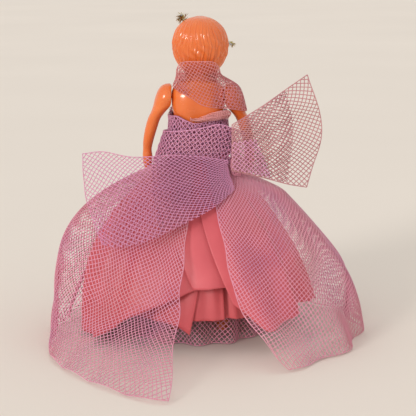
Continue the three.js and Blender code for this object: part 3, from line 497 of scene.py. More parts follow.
def along_rows(values, t):
    """Smooth curve through evenly spaced values, one curve for each entry of t."""
    count = len(values)
    slopes = np.gradient(values, axis=0)
    place = clamp(t) * (count - 1)
    i = np.clip(place.astype(int), 0, count - 2)
    here = np.arange(len(t))
    step = (place - i)[:, None]
    if values.ndim == 2:
        return hermite(step, values[i], values[i + 1], slopes[i], slopes[i + 1])
    return hermite(step, values[i, here], values[i + 1, here], slopes[i, here], slopes[i + 1, here])


# Meshes
def put(name, data):
    placed = bpy.data.objects.new(name, data)
    bpy.context.scene.collection.objects.link(placed)
    return placed


def mesh_piece(name, points, face_groups):
    """A smooth mesh object from points in millimetres and arrays of faces with equal side counts."""
    mesh = bpy.data.meshes.new(name)
    faces = [face for group in face_groups for face in group.tolist()]
    mesh.from_pydata(points * MM, [], faces, shade_flat=False)
    return put(name, mesh)


def grid_faces(rows, columns, closed=False):
    index = np.arange(rows * columns).reshape(rows, columns)
    left = index if closed else index[:, :-1]
    right = np.roll(index, -1, axis=1) if closed else index[:, 1:]
    faces = [left[:-1], right[:-1], right[1:], left[1:]]
    return np.stack([corner.ravel() for corner in faces], axis=1)


def loft(name, rings):
    """A closed body from rings of points, with a fan over the first and the last ring."""
    count, sides = rings.shape[:2]
    points = rings.reshape(-1, 3)
    ends = np.stack([rings[0].mean(0), rings[-1].mean(0)])
    around = np.arange(sides)
    onward = np.roll(around, -1)
    first = np.stack([onward, around, np.full(sides, len(points))], axis=1)
    base = (count - 1) * sides
    last = np.stack([base + around, base + onward, np.full(sides, len(points) + 1)], axis=1)
    faces = [grid_faces(count, sides, closed=True), first, last]
    return mesh_piece(name, np.concatenate([points, ends]), faces)


def thicken(piece, thickness):
    modifier = piece.modifiers.new("thickness", "SOLIDIFY")
    modifier.thickness = thickness * MM
    modifier.offset = 0


def cloth_coordinates(piece, flat):
    """Keeps each point's place on the flat cloth, in millimetres, for its weave."""
    layer = piece.data.attributes.new("cloth", "FLOAT_VECTOR", "POINT")
    layer.data.foreach_set("vector", flat.astype(np.float32).ravel())


# Cloth laid flat, and its threads
def cell_sides():
    """The first and last points of every cell's upper, lower, left and right side."""
    index = np.arange(FLAT_ROWS * FLAT_COLUMNS).reshape(FLAT_ROWS, FLAT_COLUMNS)
    upper, lower = index[:-1], index[1:]
    across = [(row[:, :-1], row[:, 1:]) for row in (upper, lower)]
    return across + [(upper[:, :-1], lower[:, :-1]), (upper[:, 1:], lower[:, 1:])]


def side_ties(sides):
    """Answers for each point's place when every side pulls on its two ends, with the first point held."""
    count = FLAT_ROWS * FLAT_COLUMNS
    ties = np.zeros((count, count))
    ties[0, 0] = 1
    for start, end in sides:
        np.add.at(ties, (start, start), 1)
        np.add.at(ties, (end, end), 1)
        np.add.at(ties, (start, end), -1)
        np.add.at(ties, (end, start), -1)
    return np.linalg.inv(ties)


CELL_SIDES = cell_sides()
SIDE_TIES = side_ties(CELL_SIDES)


def rest_shapes(grid, gathers, slack):
    """Each cell's width, and its fall as a complex number, once the gathers are let out."""
    over = np.diff(grid, axis=1)
    over = (over[1:] + over[:-1]) / 2
    down = np.diff(grid, axis=0)
    down = (down[:, 1:] + down[:, :-1]) / 2
    width = np.linalg.norm(over, axis=-1)
    lean = (over * down).sum(-1) / width
    tall = np.sqrt((down**2).sum(-1) - lean**2)
    return width * gathers[:, None], (lean - 1j * tall) * slack


def let_out(width, fall):
    """Lays a surface's cells flat with as little stretch as can be; the flat's points are complex."""
    flare = np.cumsum((width[-1] - width[0]) / np.abs(fall).sum(0))
    turn = np.exp(1j * (flare - flare.mean())) * np.ones_like(fall)
    rests = [width, width, fall, fall]
    for _ in range(FLATTEN_ROUNDS):
        pull = np.zeros((2, len(SIDE_TIES)))
        for (start, end), rest in zip(CELL_SIDES, rests):
            for row, part in zip(pull, ((turn * rest).real, (turn * rest).imag)):
                np.add.at(row, end, part)
                np.add.at(row, start, -part)
        x, y = pull @ SIDE_TIES
        flat = x + 1j * y
        drift = 0
        for (start, end), rest in zip(CELL_SIDES, rests):
            drift = drift + (flat[end] - flat[start]) * np.conj(rest)
        turn = drift / np.abs(drift)
    return flat.reshape(FLAT_ROWS, FLAT_COLUMNS)


def as_shaped(grid):
    return 1


def evenly_cut(grid):
    """Slack of a cut with the same length all along, which is bunched where the surface narrows."""
    falls = lengths(grid)
    return 2 * falls.max() / (falls[1:] + falls[:-1])


def pulled_on_floor(grid):
    """Slack of a net whose lower part is pulled out along the floor."""
    z = (grid[1:, 1:, 2] + grid[:-1, :-1, 2]) / 2
    return lerp(0.5, 1, smooth(z, 1, 9))


def unroll(place, low, high, gathers, slack):
    """A surface's flat cut: its box, its area and the way from the flat to the surface's own u and v."""
    u = np.linspace(low, high, FLAT_COLUMNS)
    v = np.linspace(0, 1, FLAT_ROWS)
    grid = np.stack([place(u, np.full_like(u, level)) for level in v])
    let_go = lerp(*gathers, (1 - (v[1:] + v[:-1]) / 2) ** 2)
    flat = let_out(*rest_shapes(grid, let_go, slack(grid)))
    seeds = flat[::SEARCH_STEP, ::SEARCH_STEP]
    last_column, last_row = FLAT_COLUMNS - 1, FLAT_ROWS - 1

    def to_surface(points):
        target = points[:, 0] + 1j * points[:, 1]
        near = np.abs(seeds.ravel() - target[:, None]).argmin(1)
        b, a = (float(SEARCH_STEP) * part for part in np.divmod(near, seeds.shape[1]))
        for _ in range(SEARCH_ROUNDS):
            reached, over, down = bilinear(flat, a, b)
            miss = target - reached
            turn = (np.conj(over) * down).imag
            step_a = clamp((np.conj(miss) * down).imag / turn, -SEARCH_STEP, SEARCH_STEP)
            step_b = clamp((np.conj(over) * miss).imag / turn, -SEARCH_STEP, SEARCH_STEP)
            a = clamp(a + step_a, -1, last_column + 1)
            b = clamp(b + step_b, -1, last_row + 1)
        within = (a >= 0) & (a <= last_column) & (b >= 0) & (b <= last_row)
        return lerp(low, high, a / last_column), b / last_row, within & (np.abs(miss) < SEARCH_MISS)

    across = np.conj(flat[1:, 1:] - flat[:-1, :-1])
    area = np.abs((across * (flat[1:, :-1] - flat[:-1, 1:])).imag).sum() / 2
    corners = np.stack([flat.real.ravel(), flat.imag.ravel()], axis=1)
    return (corners.min(0), corners.max(0)), area, to_surface


def lattice(box, degrees, pitch):
    """Straight threads at one angle over a flat box, each as a row of points."""
    turn = math.radians(degrees)
    along = np.array([math.cos(turn), math.sin(turn)])
    normal = np.array([-along[1], along[0]])
    middle = (box[0] + box[1]) / 2
    half = (box[1] - box[0]) / 2
    reach = np.abs(normal) @ half
    lines = []
    for offset in np.arange(-reach + pitch / 2, reach, pitch):
        origin = offset * normal
        low, high = -math.inf, math.inf
        for axis in (0, 1):
            if abs(along[axis]) > 1e-6:
                ends = sorted([(way * half[axis] - origin[axis]) / along[axis] for way in (-1, 1)])
                low = max(low, ends[0])
                high = min(high, ends[1])
        if high - low > pitch:
            t = np.linspace(low, high, max(2, round((high - low) / NET_STEP)) + 1)
            lines.append(middle + origin + t[:, None] * along)
    return lines


def trimmed(lines, to_surface):
    """The parts of flat lines that lie on the cloth, cut at its edge: u, v and a number for each run."""
    flat = np.concatenate(lines)
    flat = flat + NET_SWAY * np.sin(flat[:, ::-1] * 0.19 + flat * 0.07)
    owner = np.repeat(np.arange(len(lines)), [len(line) for line in lines])
    u, v, inside = to_surface(flat)
    cut = np.flatnonzero((inside[1:] != inside[:-1]) & (owner[1:] == owner[:-1]))
    leaving = inside[cut][:, None]
    near = np.where(leaving, flat[cut], flat[cut + 1])
    far = np.where(leaving, flat[cut + 1], flat[cut])
    for _ in range(TRIM_ROUNDS):
        middle = (near + far) / 2
        found = to_surface(middle)[2][:, None]
        near, far = np.where(found, middle, near), np.where(found, far, middle)
    end_u, end_v, _ = to_surface(near)
    u, v = np.insert(u, cut + 1, end_u), np.insert(v, cut + 1, end_v)
    owner, inside = np.insert(owner, cut + 1, owner[cut]), np.insert(inside, cut + 1, True)
    changes = (owner[1:] != owner[:-1]) | (inside[1:] != inside[:-1])
    run = np.concatenate([[0], np.cumsum(changes)])
    return u[inside], v[inside], run[inside]


def border(place, low, high, edges):
    """Threads along some of the cloth's edges, as u, v and runs."""
    parts = [np.zeros((3, 0))]
    for number, edge in enumerate(edges):
        u0, v0, u1, v1 = EDGES[edge]
        t = np.linspace(0, 1, EDGE_SAMPLES)
        length = lengths(place(lerp(low, high, lerp(u0, u1, t)), lerp(v0, v1, t)))
        t = np.linspace(0, 1, max(2, round(length / NET_STEP)) + 1)
        parts.append(stacked(lerp(low, high, lerp(u0, u1, t)), lerp(v0, v1, t), number).T)
    return np.concatenate(parts, axis=1)


def threads(name, place, u, v, run, radius):
    """Fine three-sided threads laid on a surface along runs of points."""
    joined = np.diff(run) == 0
    centre = place(u, v)
    step = 1e-3
    over = place(u + step, v) - place(u - step, v)
    down = place(u, np.minimum(1, v + step)) - place(u, np.maximum(0, v - step))
    normal = unit(np.cross(over, down))
    ahead = np.arange(len(u))
    behind = ahead.copy()
    ahead[:-1][joined] += 1
    behind[1:][joined] -= 1
    tangent = unit(centre[ahead] - centre[behind])
    side = unit(np.cross(normal, tangent))
    up = np.cross(tangent, side)
    corners = []
    for k in range(3):
        turn = math.tau * k / 3 + math.pi / 2
        corners.append(centre + radius * (math.cos(turn) * side + math.sin(turn) * up))
    points = np.stack(corners, axis=1).reshape(-1, 3)
    start = np.flatnonzero(joined) * 3
    faces = []
    for k in range(3):
        onward = (k + 1) % 3
        faces.append(np.stack([start + k, start + onward, start + 3 + onward, start + 3 + k], axis=1))
    return mesh_piece(name, points, [np.concatenate(faces)])


# Looks
def tint(red, green, blue):
    channels = []
    for value in (red, green, blue):
        share = value / 255
        channels.append(share / 12.92 if share <= 0.04045 else ((share + 0.055) / 1.055) ** 2.4)
    return (*channels, 1)


def fill(node, **sockets):
    """Sets or links a node's sockets; an underscore in a name stands for a space."""
    for name, value in sockets.items():
        socket = node.inputs[name.replace("_", " ")]
        if isinstance(value, bpy.types.NodeSocket):
            node.id_data.links.new(value, socket)
        else:
            socket.default_value = value
    return node


def add_node(tree, kind, **sockets):
    return fill(tree.nodes.new("ShaderNode" + kind), **sockets)


class Look:
    """A surface look built on one shader, with a noise for each thing that varies."""

    def __init__(self, name, **constants):
        self.material = bpy.data.materials.new(name)
        self.material.use_nodes = True
        tree = self.material.node_tree
        self.shader = fill(tree.nodes["Principled BSDF"], **constants)
        self.height = None
        self.add = partial(add_node, tree)

    def kept(self, layer):
        """What is kept on the points in a named layer."""
        node = self.add("Attribute")
        node.attribute_name = layer
        return node.outputs

    def noise(self, scale, detail=3, layer=None, stretch=(1, 1, 1)):
        if layer:
            place = self.kept(layer)["Vector"]
        else:
            place = self.add("TexCoord").outputs["Object"]
        vector = self.add("Mapping", Vector=place, Scale=stretch).outputs["Vector"]
        return self.add("TexNoise", Vector=vector, Scale=scale, Detail=detail).outputs["Fac"]

    def colour(self, factor, colours, low=NOISE_LOW, high=NOISE_HIGH):
        """Colours spread evenly over part of a noise's range."""
        node = self.add("ValToRGB", Fac=factor)
        stops = node.color_ramp.elements
        while len(stops) < len(colours):
            stops.new(0.5)
        for stop, position, colour in zip(stops, np.linspace(low, high, len(colours)), colours):
            stop.position = position
            stop.color = colour
        fill(self.shader, Base_Color=node.outputs["Color"])
        return node.outputs["Color"]

    def rough(self, factor, low, high):
        node = self.add("MapRange", Value=factor, From_Min=NOISE_LOW, From_Max=NOISE_HIGH,
                        To_Min=low, To_Max=high)
        fill(self.shader, Roughness=node.outputs["Result"])

    def relief(self, factor, strength, distance):
        """Fine relief on top of what is there."""
        node = self.add("Bump", Height=factor, Strength=strength, Distance=distance * MM)
        if self.height:
            fill(node, Normal=self.height)
        self.height = node.outputs["Normal"]
        fill(self.shader, Normal=self.height)

    def painted(self, ground):
        """Lays the painted colours kept on the points over the ground colour."""
        paint = self.kept("paint")
        mix = self.add("Mix")
        mix.data_type = "RGBA"
        fill(mix, Factor=paint["Alpha"], A=ground, B=paint["Color"])
        fill(self.shader, Base_Color=mix.outputs["Result"])


def plastic_look(name, painted=False):
    look = Look(name, Coat_Weight=0.5, Coat_Roughness=0.06, Specular_IOR_Level=0.5, Subsurface_Weight=0.12,
                Subsurface_Radius=(1.0, 0.35, 0.12), Subsurface_Scale=1.2 * MM)
    ground = look.colour(look.noise(70), [tint(222, 106, 40), tint(233, 120, 52)])
    if painted:
        look.painted(ground)
    look.rough(look.noise(260), 0.18, 0.3)
    look.relief(look.noise(420, 2), 0.25, 0.05)
    return look.material


def satin_look(name, dark, light):
    look = Look(name, Sheen_Weight=0.25, Sheen_Roughness=0.4, Sheen_Tint=tint(255, 205, 200),
                Specular_IOR_Level=0.45, Anisotropic=0.5)
    look.colour(look.noise(45, 4), [dark, light])
    look.rough(look.noise(0.6, 3, "cloth", (1, 0.2, 1)), 0.36, 0.5)
    look.relief(look.noise(2.6, 2, "cloth", (1, 0.25, 1)), 0.18, 0.06)
    look.relief(look.noise(0.12, 3, "cloth", (1, 0.35, 1)), 0.5, 0.5)
    return look.material


def net_look(name, *shades):
    look = Look(name, Specular_IOR_Level=0.5)
    look.colour(look.noise(38, 5), [tint(*shade) for shade in shades], 0.32, 0.68)
    look.rough(look.noise(500, 2), 0.35, 0.55)
    look.relief(look.noise(1600, 2), 0.3, 0.08)
    return look.material


def metal_look(name, dark, light, low, high):
    look = Look(name, Metallic=1.0)
    look.colour(look.noise(300, 4), [dark, light])
    look.rough(look.noise(600, 3), low, high)
    look.relief(look.noise(900, 2), 0.2, 0.04)
    return look.material


def elastic_look():
    look = Look("elastic_cord", Specular_IOR_Level=0.3)
    look.colour(look.noise(500, 3), [tint(205, 198, 182), tint(232, 227, 214)])
    look.rough(look.noise(800), 0.6, 0.85)
    look.relief(look.noise(1100, 2), 0.5, 0.1)
    return look.material


def floor_look():
    look = Look("studio_floor", Specular_IOR_Level=0.1)
    look.colour(look.noise(3, 2), [tint(233, 225, 216), tint(236, 228, 219)])
    look.rough(look.noise(40), 0.85, 0.95)
    return look.material


def dress(piece, look, body, replaced=()):
    """Gives a piece its look, and lets it ride on a body in place of CAD nodes."""
    piece.data.materials.append(look)
    if body:
        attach(piece, body)
    if replaced:
        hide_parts(*replaced)


NET_LIGHT = net_look("net_mauve", (212, 142, 174), (232, 156, 180), (224, 150, 166))
NET_BRIGHT = net_look("net_lilac", (220, 154, 198), (238, 168, 200))
# A darker, greyer copy of the net for the hanging fan: painted shade, for net seen against bright light
# behind it.
NET_PAINTED_FAN_SHADE = net_look("net_painted_fan_shade", (188, 126, 134), (208, 148, 148))
NET_ROSE = net_look("net_rose", (218, 138, 144), (236, 156, 156))
# A redder, darker copy of the net for the cowl's lining: it paints in the orange neck seen through the
# layers, and painted shade between them.
NET_CORAL_PAINTED_SHADE = net_look("net_coral_painted_shade", (206, 100, 96), (222, 122, 112))
# A dark copy of the net for the under layers: painted shade, for the shade deep inside layered net.
NET_PAINTED_DEEP_SHADE = net_look("net_painted_deep_shade", (118, 54, 90), (146, 74, 108))
# A darker copy of the net for the sash's inner layers: painted shade within the bunched net.
NET_PAINTED_WINE_SHADE = net_look("net_painted_wine_shade", (160, 82, 112), (186, 104, 128))
# A paler copy of the net for the rolled edge: painted light, which offsets the shade inside the roll.
NET_PAINTED_PALE_LIGHT = net_look("net_painted_pale_light", (246, 172, 174), (252, 186, 184))
SATIN_OUTER = satin_look("satin_coral", tint(203, 83, 93), tint(219, 101, 109))
SATIN_INNER = satin_look("satin_coral_inner", tint(208, 86, 94), tint(224, 102, 108))
PLASTIC = plastic_look("tan_plastic")
PLASTIC_PAINTED = plastic_look("tan_plastic_painted", painted=True)
TINSEL = metal_look("olive_tinsel", tint(150, 136, 62), tint(206, 186, 108), 0.3, 0.5)
STEEL = metal_look("bright_steel", tint(150, 152, 156), tint(190, 192, 196), 0.25, 0.45)
ELASTIC = elastic_look()
BACKDROP_COLOUR = tint(236, 230, 220)


# Cloth pieces
def net(name, place, look, body="torso", replaced=(), degrees=0, low=0.0, high=1.0, gathers=(1, 1),
        slack=as_shaped, pitch=NET_PITCH, radius=NET_THREAD, held="gathered", rests_on=("waistband",),
        edges=tuple(EDGES)):
    """A net of crossing threads over a surface; gathers are at its hem and its top."""
    box, area, to_surface = unroll(place, low, high, gathers, slack)
    lines = lattice(box, degrees, pitch) + lattice(box, degrees + 90, pitch)
    mesh_u, mesh_v, mesh_run = trimmed(lines, to_surface)
    edge_u, edge_v, edge_run = border(place, low, high, edges)
    u, v = np.concatenate([mesh_u, edge_u]), np.concatenate([mesh_v, edge_v])
    run = np.concatenate([mesh_run, edge_run + mesh_run[-1] + 1])
    piece = threads(name, place, u, v, run, radius)
    dress(piece, look, body, replaced)
    return piece


def satin(name, place, look, columns, rows, replaced):
    """A solid woven sheet over a surface, with its own thickness."""
    u, v = even_grid(columns, rows)
    points = place(u, v)
    piece = mesh_piece(name, points, [grid_faces(rows, columns)])
    grid = points.reshape(rows, columns, 3)
    width = lengths(grid[-1])
    falls = lengths(grid)
    length = falls.max()
    cloth_coordinates(piece, stacked(u * width, v * length, 0))
    thicken(piece, SATIN_THICKNESS)
    dress(piece, look, "torso", replaced)


# Skirts
def waist_radius(degrees, layer):
    grow = LAYER_PITCH * layer
    return oval(degrees, WAIST_HALF_WIDTH + grow, WAIST_HALF_DEPTH + grow)


def bell(z, power=BELL_POWER):
    return 1 - (1 - clamp((SKIRT_TOP_Z - z) / SKIRT_TOP_Z)) ** power


def petticoat(u, v):
    degrees = 180 + u * 360
    z = lerp(SKIRT_TOP_Z, PETTICOAT_HEM_Z, v**FALL_POWER)
    folds = PETTICOAT_FOLD_DEPTH * np.cos(np.radians(degrees) * PETTICOAT_FOLDS)
    radius = lerp(waist_radius(degrees, 0), PETTICOAT_HEM_RADIUS + folds, bell(z))
    return polar(degrees, radius, z)


def cloth_path(path):
    """A table of a pleated cloth's path with its own length, as a share, in front."""
    rows = np.array(path, float)
    turns = np.radians(np.diff(rows[:, 1])) * rows[1:, 2]
    steps = np.hypot(turns, np.diff(rows[:, 2]))
    share = np.concatenate([[0], np.cumsum(steps)])
    return np.column_stack([share / share[-1], rows])


def pleated(u, v, path, layer, waves, depth, left_bulge=0):
    """A gathered skirt whose cloth doubles back along its path in pleats, and may bulge on the left."""
    at_waist, at_hem, hem_radius, hem = row_at(cloth_path(path), clamp(u))
    z = lerp(SKIRT_TOP_Z, hem, clamp(v) ** FALL_POWER)
    rise = (z - hem) / (SKIRT_TOP_Z - hem)
    degrees = lerp(at_hem, at_waist, rise)
    open_side = smooth(np.abs((at_hem + 180) % 360 - 180), 32, 56)
    gathers = lerp(0.35, depth, open_side) * np.cos(clamp(u) * waves * math.tau + 0.8 + 1.5 * rise)
    power = BELL_POWER + left_bulge * bump(degrees - 286, 18)
    radius = lerp(waist_radius(degrees, layer), hem_radius + gathers, bell(z, power))
    return polar(degrees, radius, z)


def overskirt(u, v):
    """The net skirt, open behind, with a corner that lies out on the floor on the left."""
    z = OVERSKIRT_HEM_Z + (SKIRT_TOP_Z - OVERSKIRT_HEM_Z) * (1 - clamp(v)) ** 1.25
    swing = np.maximum(0, 1 - z / EDGE_SWING_Z) ** 1.3
    sway = 0.5 * np.sin(z * 0.35)
    right_edge = OVERSKIRT_HEM[0][0] + RIGHT_EDGE_SWING * swing - sway
    left_edge = OVERSKIRT_HEM[-1][0] + LEFT_EDGE_SWING * swing + sway
    degrees = lerp(right_edge, left_edge, u)
    hem, train, power, puff = row_at(OVERSKIRT_HEM, degrees)
    train = train * np.maximum(0, 1 - z / TRAIN_START_Z) ** 1.5
    fold = u * OVERSKIRT_FOLDS - OVERSKIRT_FIRST_FOLD
    wave = np.cos(fold * math.tau) * OVERSKIRT_FOLD_DEPTH * bell(z) ** 3
    lying = clamp(train / TRAIN_LYING)
    drop = 1 - z / SKIRT_TOP_Z
    puff = puff * smooth(drop, 0.065, 0.2) * (1 - smooth(drop, 0.55, 1))
    radius = lerp(waist_radius(degrees, 3), hem, bell(z, power)) + puff + train + wave * (1 - lying)
    return polar(degrees, radius, z + lying * np.abs(wave) * 0.5)


def make_skirts():
    net("petticoat_net", petticoat, NET_LIGHT, replaced=["net_petticoat"], degrees=45, gathers=(1, 1.6),
        edges=("upper", "lower"))
    underskirt = partial(pleated, path=UNDERSKIRT_PATH, layer=1, waves=31, depth=0.35)
    satin("underskirt_satin", underskirt, SATIN_INNER, columns=480, rows=60, replaced=["satin_underskirt"])
    skirt = partial(pleated, path=SATIN_PATH, layer=2, waves=20, depth=2.3, left_bulge=1.3)
    satin("skirt_satin", skirt, SATIN_OUTER, columns=560, rows=60, replaced=["satin_skirt"])
    net("overskirt_net", overskirt, NET_LIGHT, replaced=["net_overskirt"], degrees=70, gathers=(1, 2.3),
        slack=pulled_on_floor)


def waist_tape(columns=361, rows=9):
    u, v = even_grid(columns, rows)
    degrees = 360 * u
    ribs = TAPE_RIB_DEPTH * np.cos(u * TAPE_RIBS * math.tau) * np.sin(v * math.pi)
    points = polar(degrees, waist_radius(degrees, 1.5) + ribs, TAPE_TOP_Z - TAPE_HEIGHT * v)
    piece = mesh_piece("waist_tape", points, [grid_faces(rows, columns)])
    cloth_coordinates(piece, stacked(u * TAPE_LENGTH, v * TAPE_HEIGHT, 0))
    thicken(piece, TAPE_THICKNESS)
    dress(piece, SATIN_INNER, "torso", ["waistband"])


# Bodice, sash and shawl
def chest_power(z):
    """The power that squares the chest's oval: one where it stays an oval."""
    return lerp(1, 0.78, smooth(z, 99, 105) * (1 - smooth(z, 112, 117)))


def squared(value, power):
    return np.sign(value) * np.abs(value) ** power


def bodice(u, v, grow):
    """Net wrapped round the chest, with lapped ends in front, tucked in where the sash goes over it."""
    degrees = lerp(-BODICE_HALF_TURN, BODICE_HALF_TURN, u)
    top = BODICE_MEAN_TOP_Z + through(BODICE_TOP, degrees, 1, 360)
    z = lerp(top, BODICE_HEM_Z, v)
    flare = BODICE_FLARE * clamp(v) ** 1.6 - BODICE_TUCK * smooth(v, 0.3, 1)
    ripple = 0.35 * np.cos(np.radians(degrees) * 12 + 2 * v)
    out = flare + ripple + grow
    half_width, half_depth, shift = row_at(TORSO_SHAPE, z)
    half_width = np.minimum(half_width, SHOULDER_FACE_X) + BODICE_CLEAR + out
    half_depth = half_depth + BODICE_CLEAR + BODICE_DEPTH_SHARE * out
    turn = np.radians(degrees)
    power = chest_power(z)
    x = half_width * squared(np.sin(turn), power)
    y = shift - half_depth * squared(np.cos(turn), power)
    return stacked(x, y, z)


def bodice_edge(u, v):
    """The rolled upper edge over the bodice's right back."""
    degrees = lerp(FOLD_START, FOLD_END, u)
    along = (degrees / BODICE_HALF_TURN + 1) / 2
    path = bodice(along, np.zeros_like(u), grow=2.1) + np.array([0, 0, FOLD_LIFT])
    thick = lerp(0.9, 2.3, smooth(u, 0, 0.6)) * lerp(1, 0.6, smooth(u, 0.85, 1)) * (1 - 0.45 * v)
    turn = v * 2 * math.tau
    outward = polar(degrees, 0.65, 0)
    upward = np.array([0, 0, 1])
    return path + outward * (thick * np.cos(turn))[:, None] + upward * (thick * np.sin(turn))[:, None]


def make_bodice():
    rests = ["torso_back_shell", "torso_front_shell"]
    # The under layer is a dark copy of the net: painted shade.
    net("bodice_under_net", partial(bodice, grow=-1.1), NET_PAINTED_DEEP_SHADE, degrees=30, gathers=(1.4, 1.5), pitch=1.2,
        radius=0.19, rests_on=rests)
    net("bodice_inner_net", partial(bodice, grow=-0.3), NET_BRIGHT, degrees=10, gathers=(1.2, 1.3),
        radius=FINE_THREAD, rests_on=rests)
    net("bodice_outer_net", partial(bodice, grow=0.5), NET_BRIGHT, replaced=["bodice_wrap"], degrees=48,
        gathers=(1.15, 1.3), radius=FINE_THREAD, rests_on=rests)
    # The rolled edge takes the paler copy of the net: painted light.
    net("bodice_edge_net", bodice_edge, NET_PAINTED_PALE_LIGHT, replaced=["bodice_fold"], degrees=30, gathers=(1.2, 1.2),
        pitch=1.1, radius=0.15, held="folded", rests_on=rests)


def sash_end(u, v, rows, folds, depth, inset):
    """One spread end of the sash, with its folds deepening towards the free end."""
    lines = np.stack([along_rows(row, v) for row in np.array(rows, float)])
    points = along_rows(lines, u)
    points[:, 1] += depth * u * np.cos(folds * v * math.tau) + inset
    return points


def left_end(u, v, inset=0.0):
    return sash_end(u, v, SASH_LEFT, folds=3, depth=1.1, inset=inset)


def right_end(u, v, inset=0.0):
    return sash_end(u, v, SASH_RIGHT, folds=2.5, depth=1.4, inset=inset)


def sash_root(u, v, inset, start):
    """The lower part of the right end next to the knot, where more of the sash's net lies bunched."""
    return right_end(lerp(start, lerp(0.24, 0.42, v), u), lerp(0.42, 0.98, v), inset)


def knot(u, v):
    """The sash's knot, with its net twisted round from top to bottom."""
    turn = u * math.tau + 2.6 * v
    rise = lerp(1, -1, v)
    ring = np.cos(rise) * (1 + 0.09 * np.cos(turn * 7 + 2 * rise))
    centre = np.array(KNOT_CENTRE)
    size = np.array(KNOT_RADII)
    return centre + size * stacked(ring * np.sin(turn), -ring * np.cos(turn), np.sin(rise))


def sash_wrap(u, v, inset):
    """The sash's full turn round the waist, over the bodice's lower part and out past the right wrist."""
    degrees = lerp(SASH_WRAP[0][0], SASH_WRAP[-1][0], u)
    upper, upper_z, lower, lower_z = row_at(SASH_WRAP, degrees)
    ripple = 0.2 * np.cos(np.radians(degrees) * 0.76 + 2 + v * 4 * math.tau)
    radius = lerp(upper, lower, v) - inset * (1 - 0.3 * v) + ripple
    return polar(degrees, radius, lerp(upper_z, lower_z, v))


def make_sash():
    rests = ["waistband", "sash_knot"]
    ends = dict(slack=evenly_cut, held="hung", rests_on=rests)
    net("sash_left_net", left_end, NET_BRIGHT, replaced=["sash_left_end"], degrees=40,
        edges=("upper", "end"), **ends)
    # The inner layer is a darker copy of the net: painted shade.
    net("sash_left_inner_net", partial(left_end, inset=0.9), NET_PAINTED_WINE_SHADE, degrees=10, low=0.02, high=0.5,
        edges=(), **ends)
    wraps = dict(held="folded", rests_on=["bodice_wrap"], edges=("upper", "lower", "start"))
    net("sash_wrap_net", partial(sash_wrap, inset=0), NET_BRIGHT, degrees=73, gathers=(1.1, 1.1),
        radius=FINE_THREAD, **wraps)
    net("sash_wrap_inner_net", partial(sash_wrap, inset=0.7), NET_LIGHT, degrees=40, high=0.985,
        gathers=(1.05, 1.05), radius=FINE_THREAD, **wraps)
    # The wrap's under layer is a dark copy of the net: painted shade.
    net("sash_wrap_under_net", partial(sash_wrap, inset=1.4), NET_PAINTED_DEEP_SHADE, degrees=0, low=0.03, high=0.97,
        gathers=(1.1, 1.1), pitch=1.4, radius=0.2, **wraps)
    # The hanging fan and its inner layer take the darker, greyer copy of the net: painted shade.
    net("sash_right_net", right_end, NET_PAINTED_FAN_SHADE, replaced=["sash_right_end"], degrees=53, radius=0.24, **ends)
    net("sash_right_inner_net", partial(right_end, inset=1.6), NET_PAINTED_FAN_SHADE, degrees=40, low=0.15, high=0.66,
        edges=(), **ends)
    roots = dict(held="folded", rests_on=rests, edges=())
    net("sash_root_net", partial(sash_root, inset=-0.9, start=0), NET_BRIGHT, degrees=53, pitch=1.5,
        radius=FINE_THREAD, **roots)
    # The root's inner layer is a darker copy of the net: painted shade.
    net("sash_root_inner_net", partial(sash_root, inset=0.8, start=0.13), NET_PAINTED_WINE_SHADE, degrees=20, pitch=1.4,
        radius=0.19, **roots)
    net("sash_knot_net", knot, NET_LIGHT, replaced=["sash_knot"], degrees=20, gathers=(1.5, 1.5), pitch=1.4,
        radius=FINE_THREAD, held="folded", rests_on=["waistband"], edges=())


def cowl_top(degrees):
    """The radius and the height of the cowl's upper edge."""
    return row_at(COWL_TOP, np.abs((degrees + 180) % 360 - 180))


def torso_reach(degrees, z, clear):
    half_width, half_depth, _ = row_at(TORSO_SHAPE, z)
    return oval(degrees, np.minimum(half_width, SHOULDER_FACE_X) + clear, half_depth + clear)


def head_size(share):
    """The head's half width, half depth and forward shift at shares of its height."""
    width, depth, shift = row_at(HEAD_SHAPE, share)
    return width * HEAD_HALF_WIDTH, depth * HEAD_HALF_DEPTH, shift


def head_reach(z, clear):
    """How far out the head comes as it turns, where the cowl passes it."""
    _, half_depth, _ = head_size(clamp((z - HEAD_BASE_Z) / HEAD_HEIGHT))
    return np.where(z > HEAD_BASE_Z, half_depth + HEAD_SHIFT + clear, 0)


def collar(u, v):
    """The soft turned-in lining of the cowl round the neck."""
    degrees = lerp(-180, 180, u)
    turn = np.radians(degrees)
    top_radius, top_z = cowl_top(degrees)
    low_z = lerp(COLLAR_FRONT_Z, COLLAR_BACK_Z, (1 + np.cos(turn)) / 2)
    low_radius = np.maximum(torso_reach(degrees, low_z, clear=0.4), COLLAR_LEAST_RADIUS)
    z = lerp(top_z - COLLAR_TURN_IN, low_z, v)
    radius = np.maximum(lerp(top_radius - COLLAR_TURN_IN, low_radius, v), head_reach(z, clear=0.9))
    return polar(degrees, radius + 0.1 * np.cos(turn * 13), z)


def limb_size(shape, z):
    """A limb's inner side, middle, half width, half depth and forward shift at heights."""
    inner, outer, deep, forward, flat = row_at(shape, z)
    return inner, (inner - flat + outer) / 2, (outer - inner + flat) / 2, deep, forward


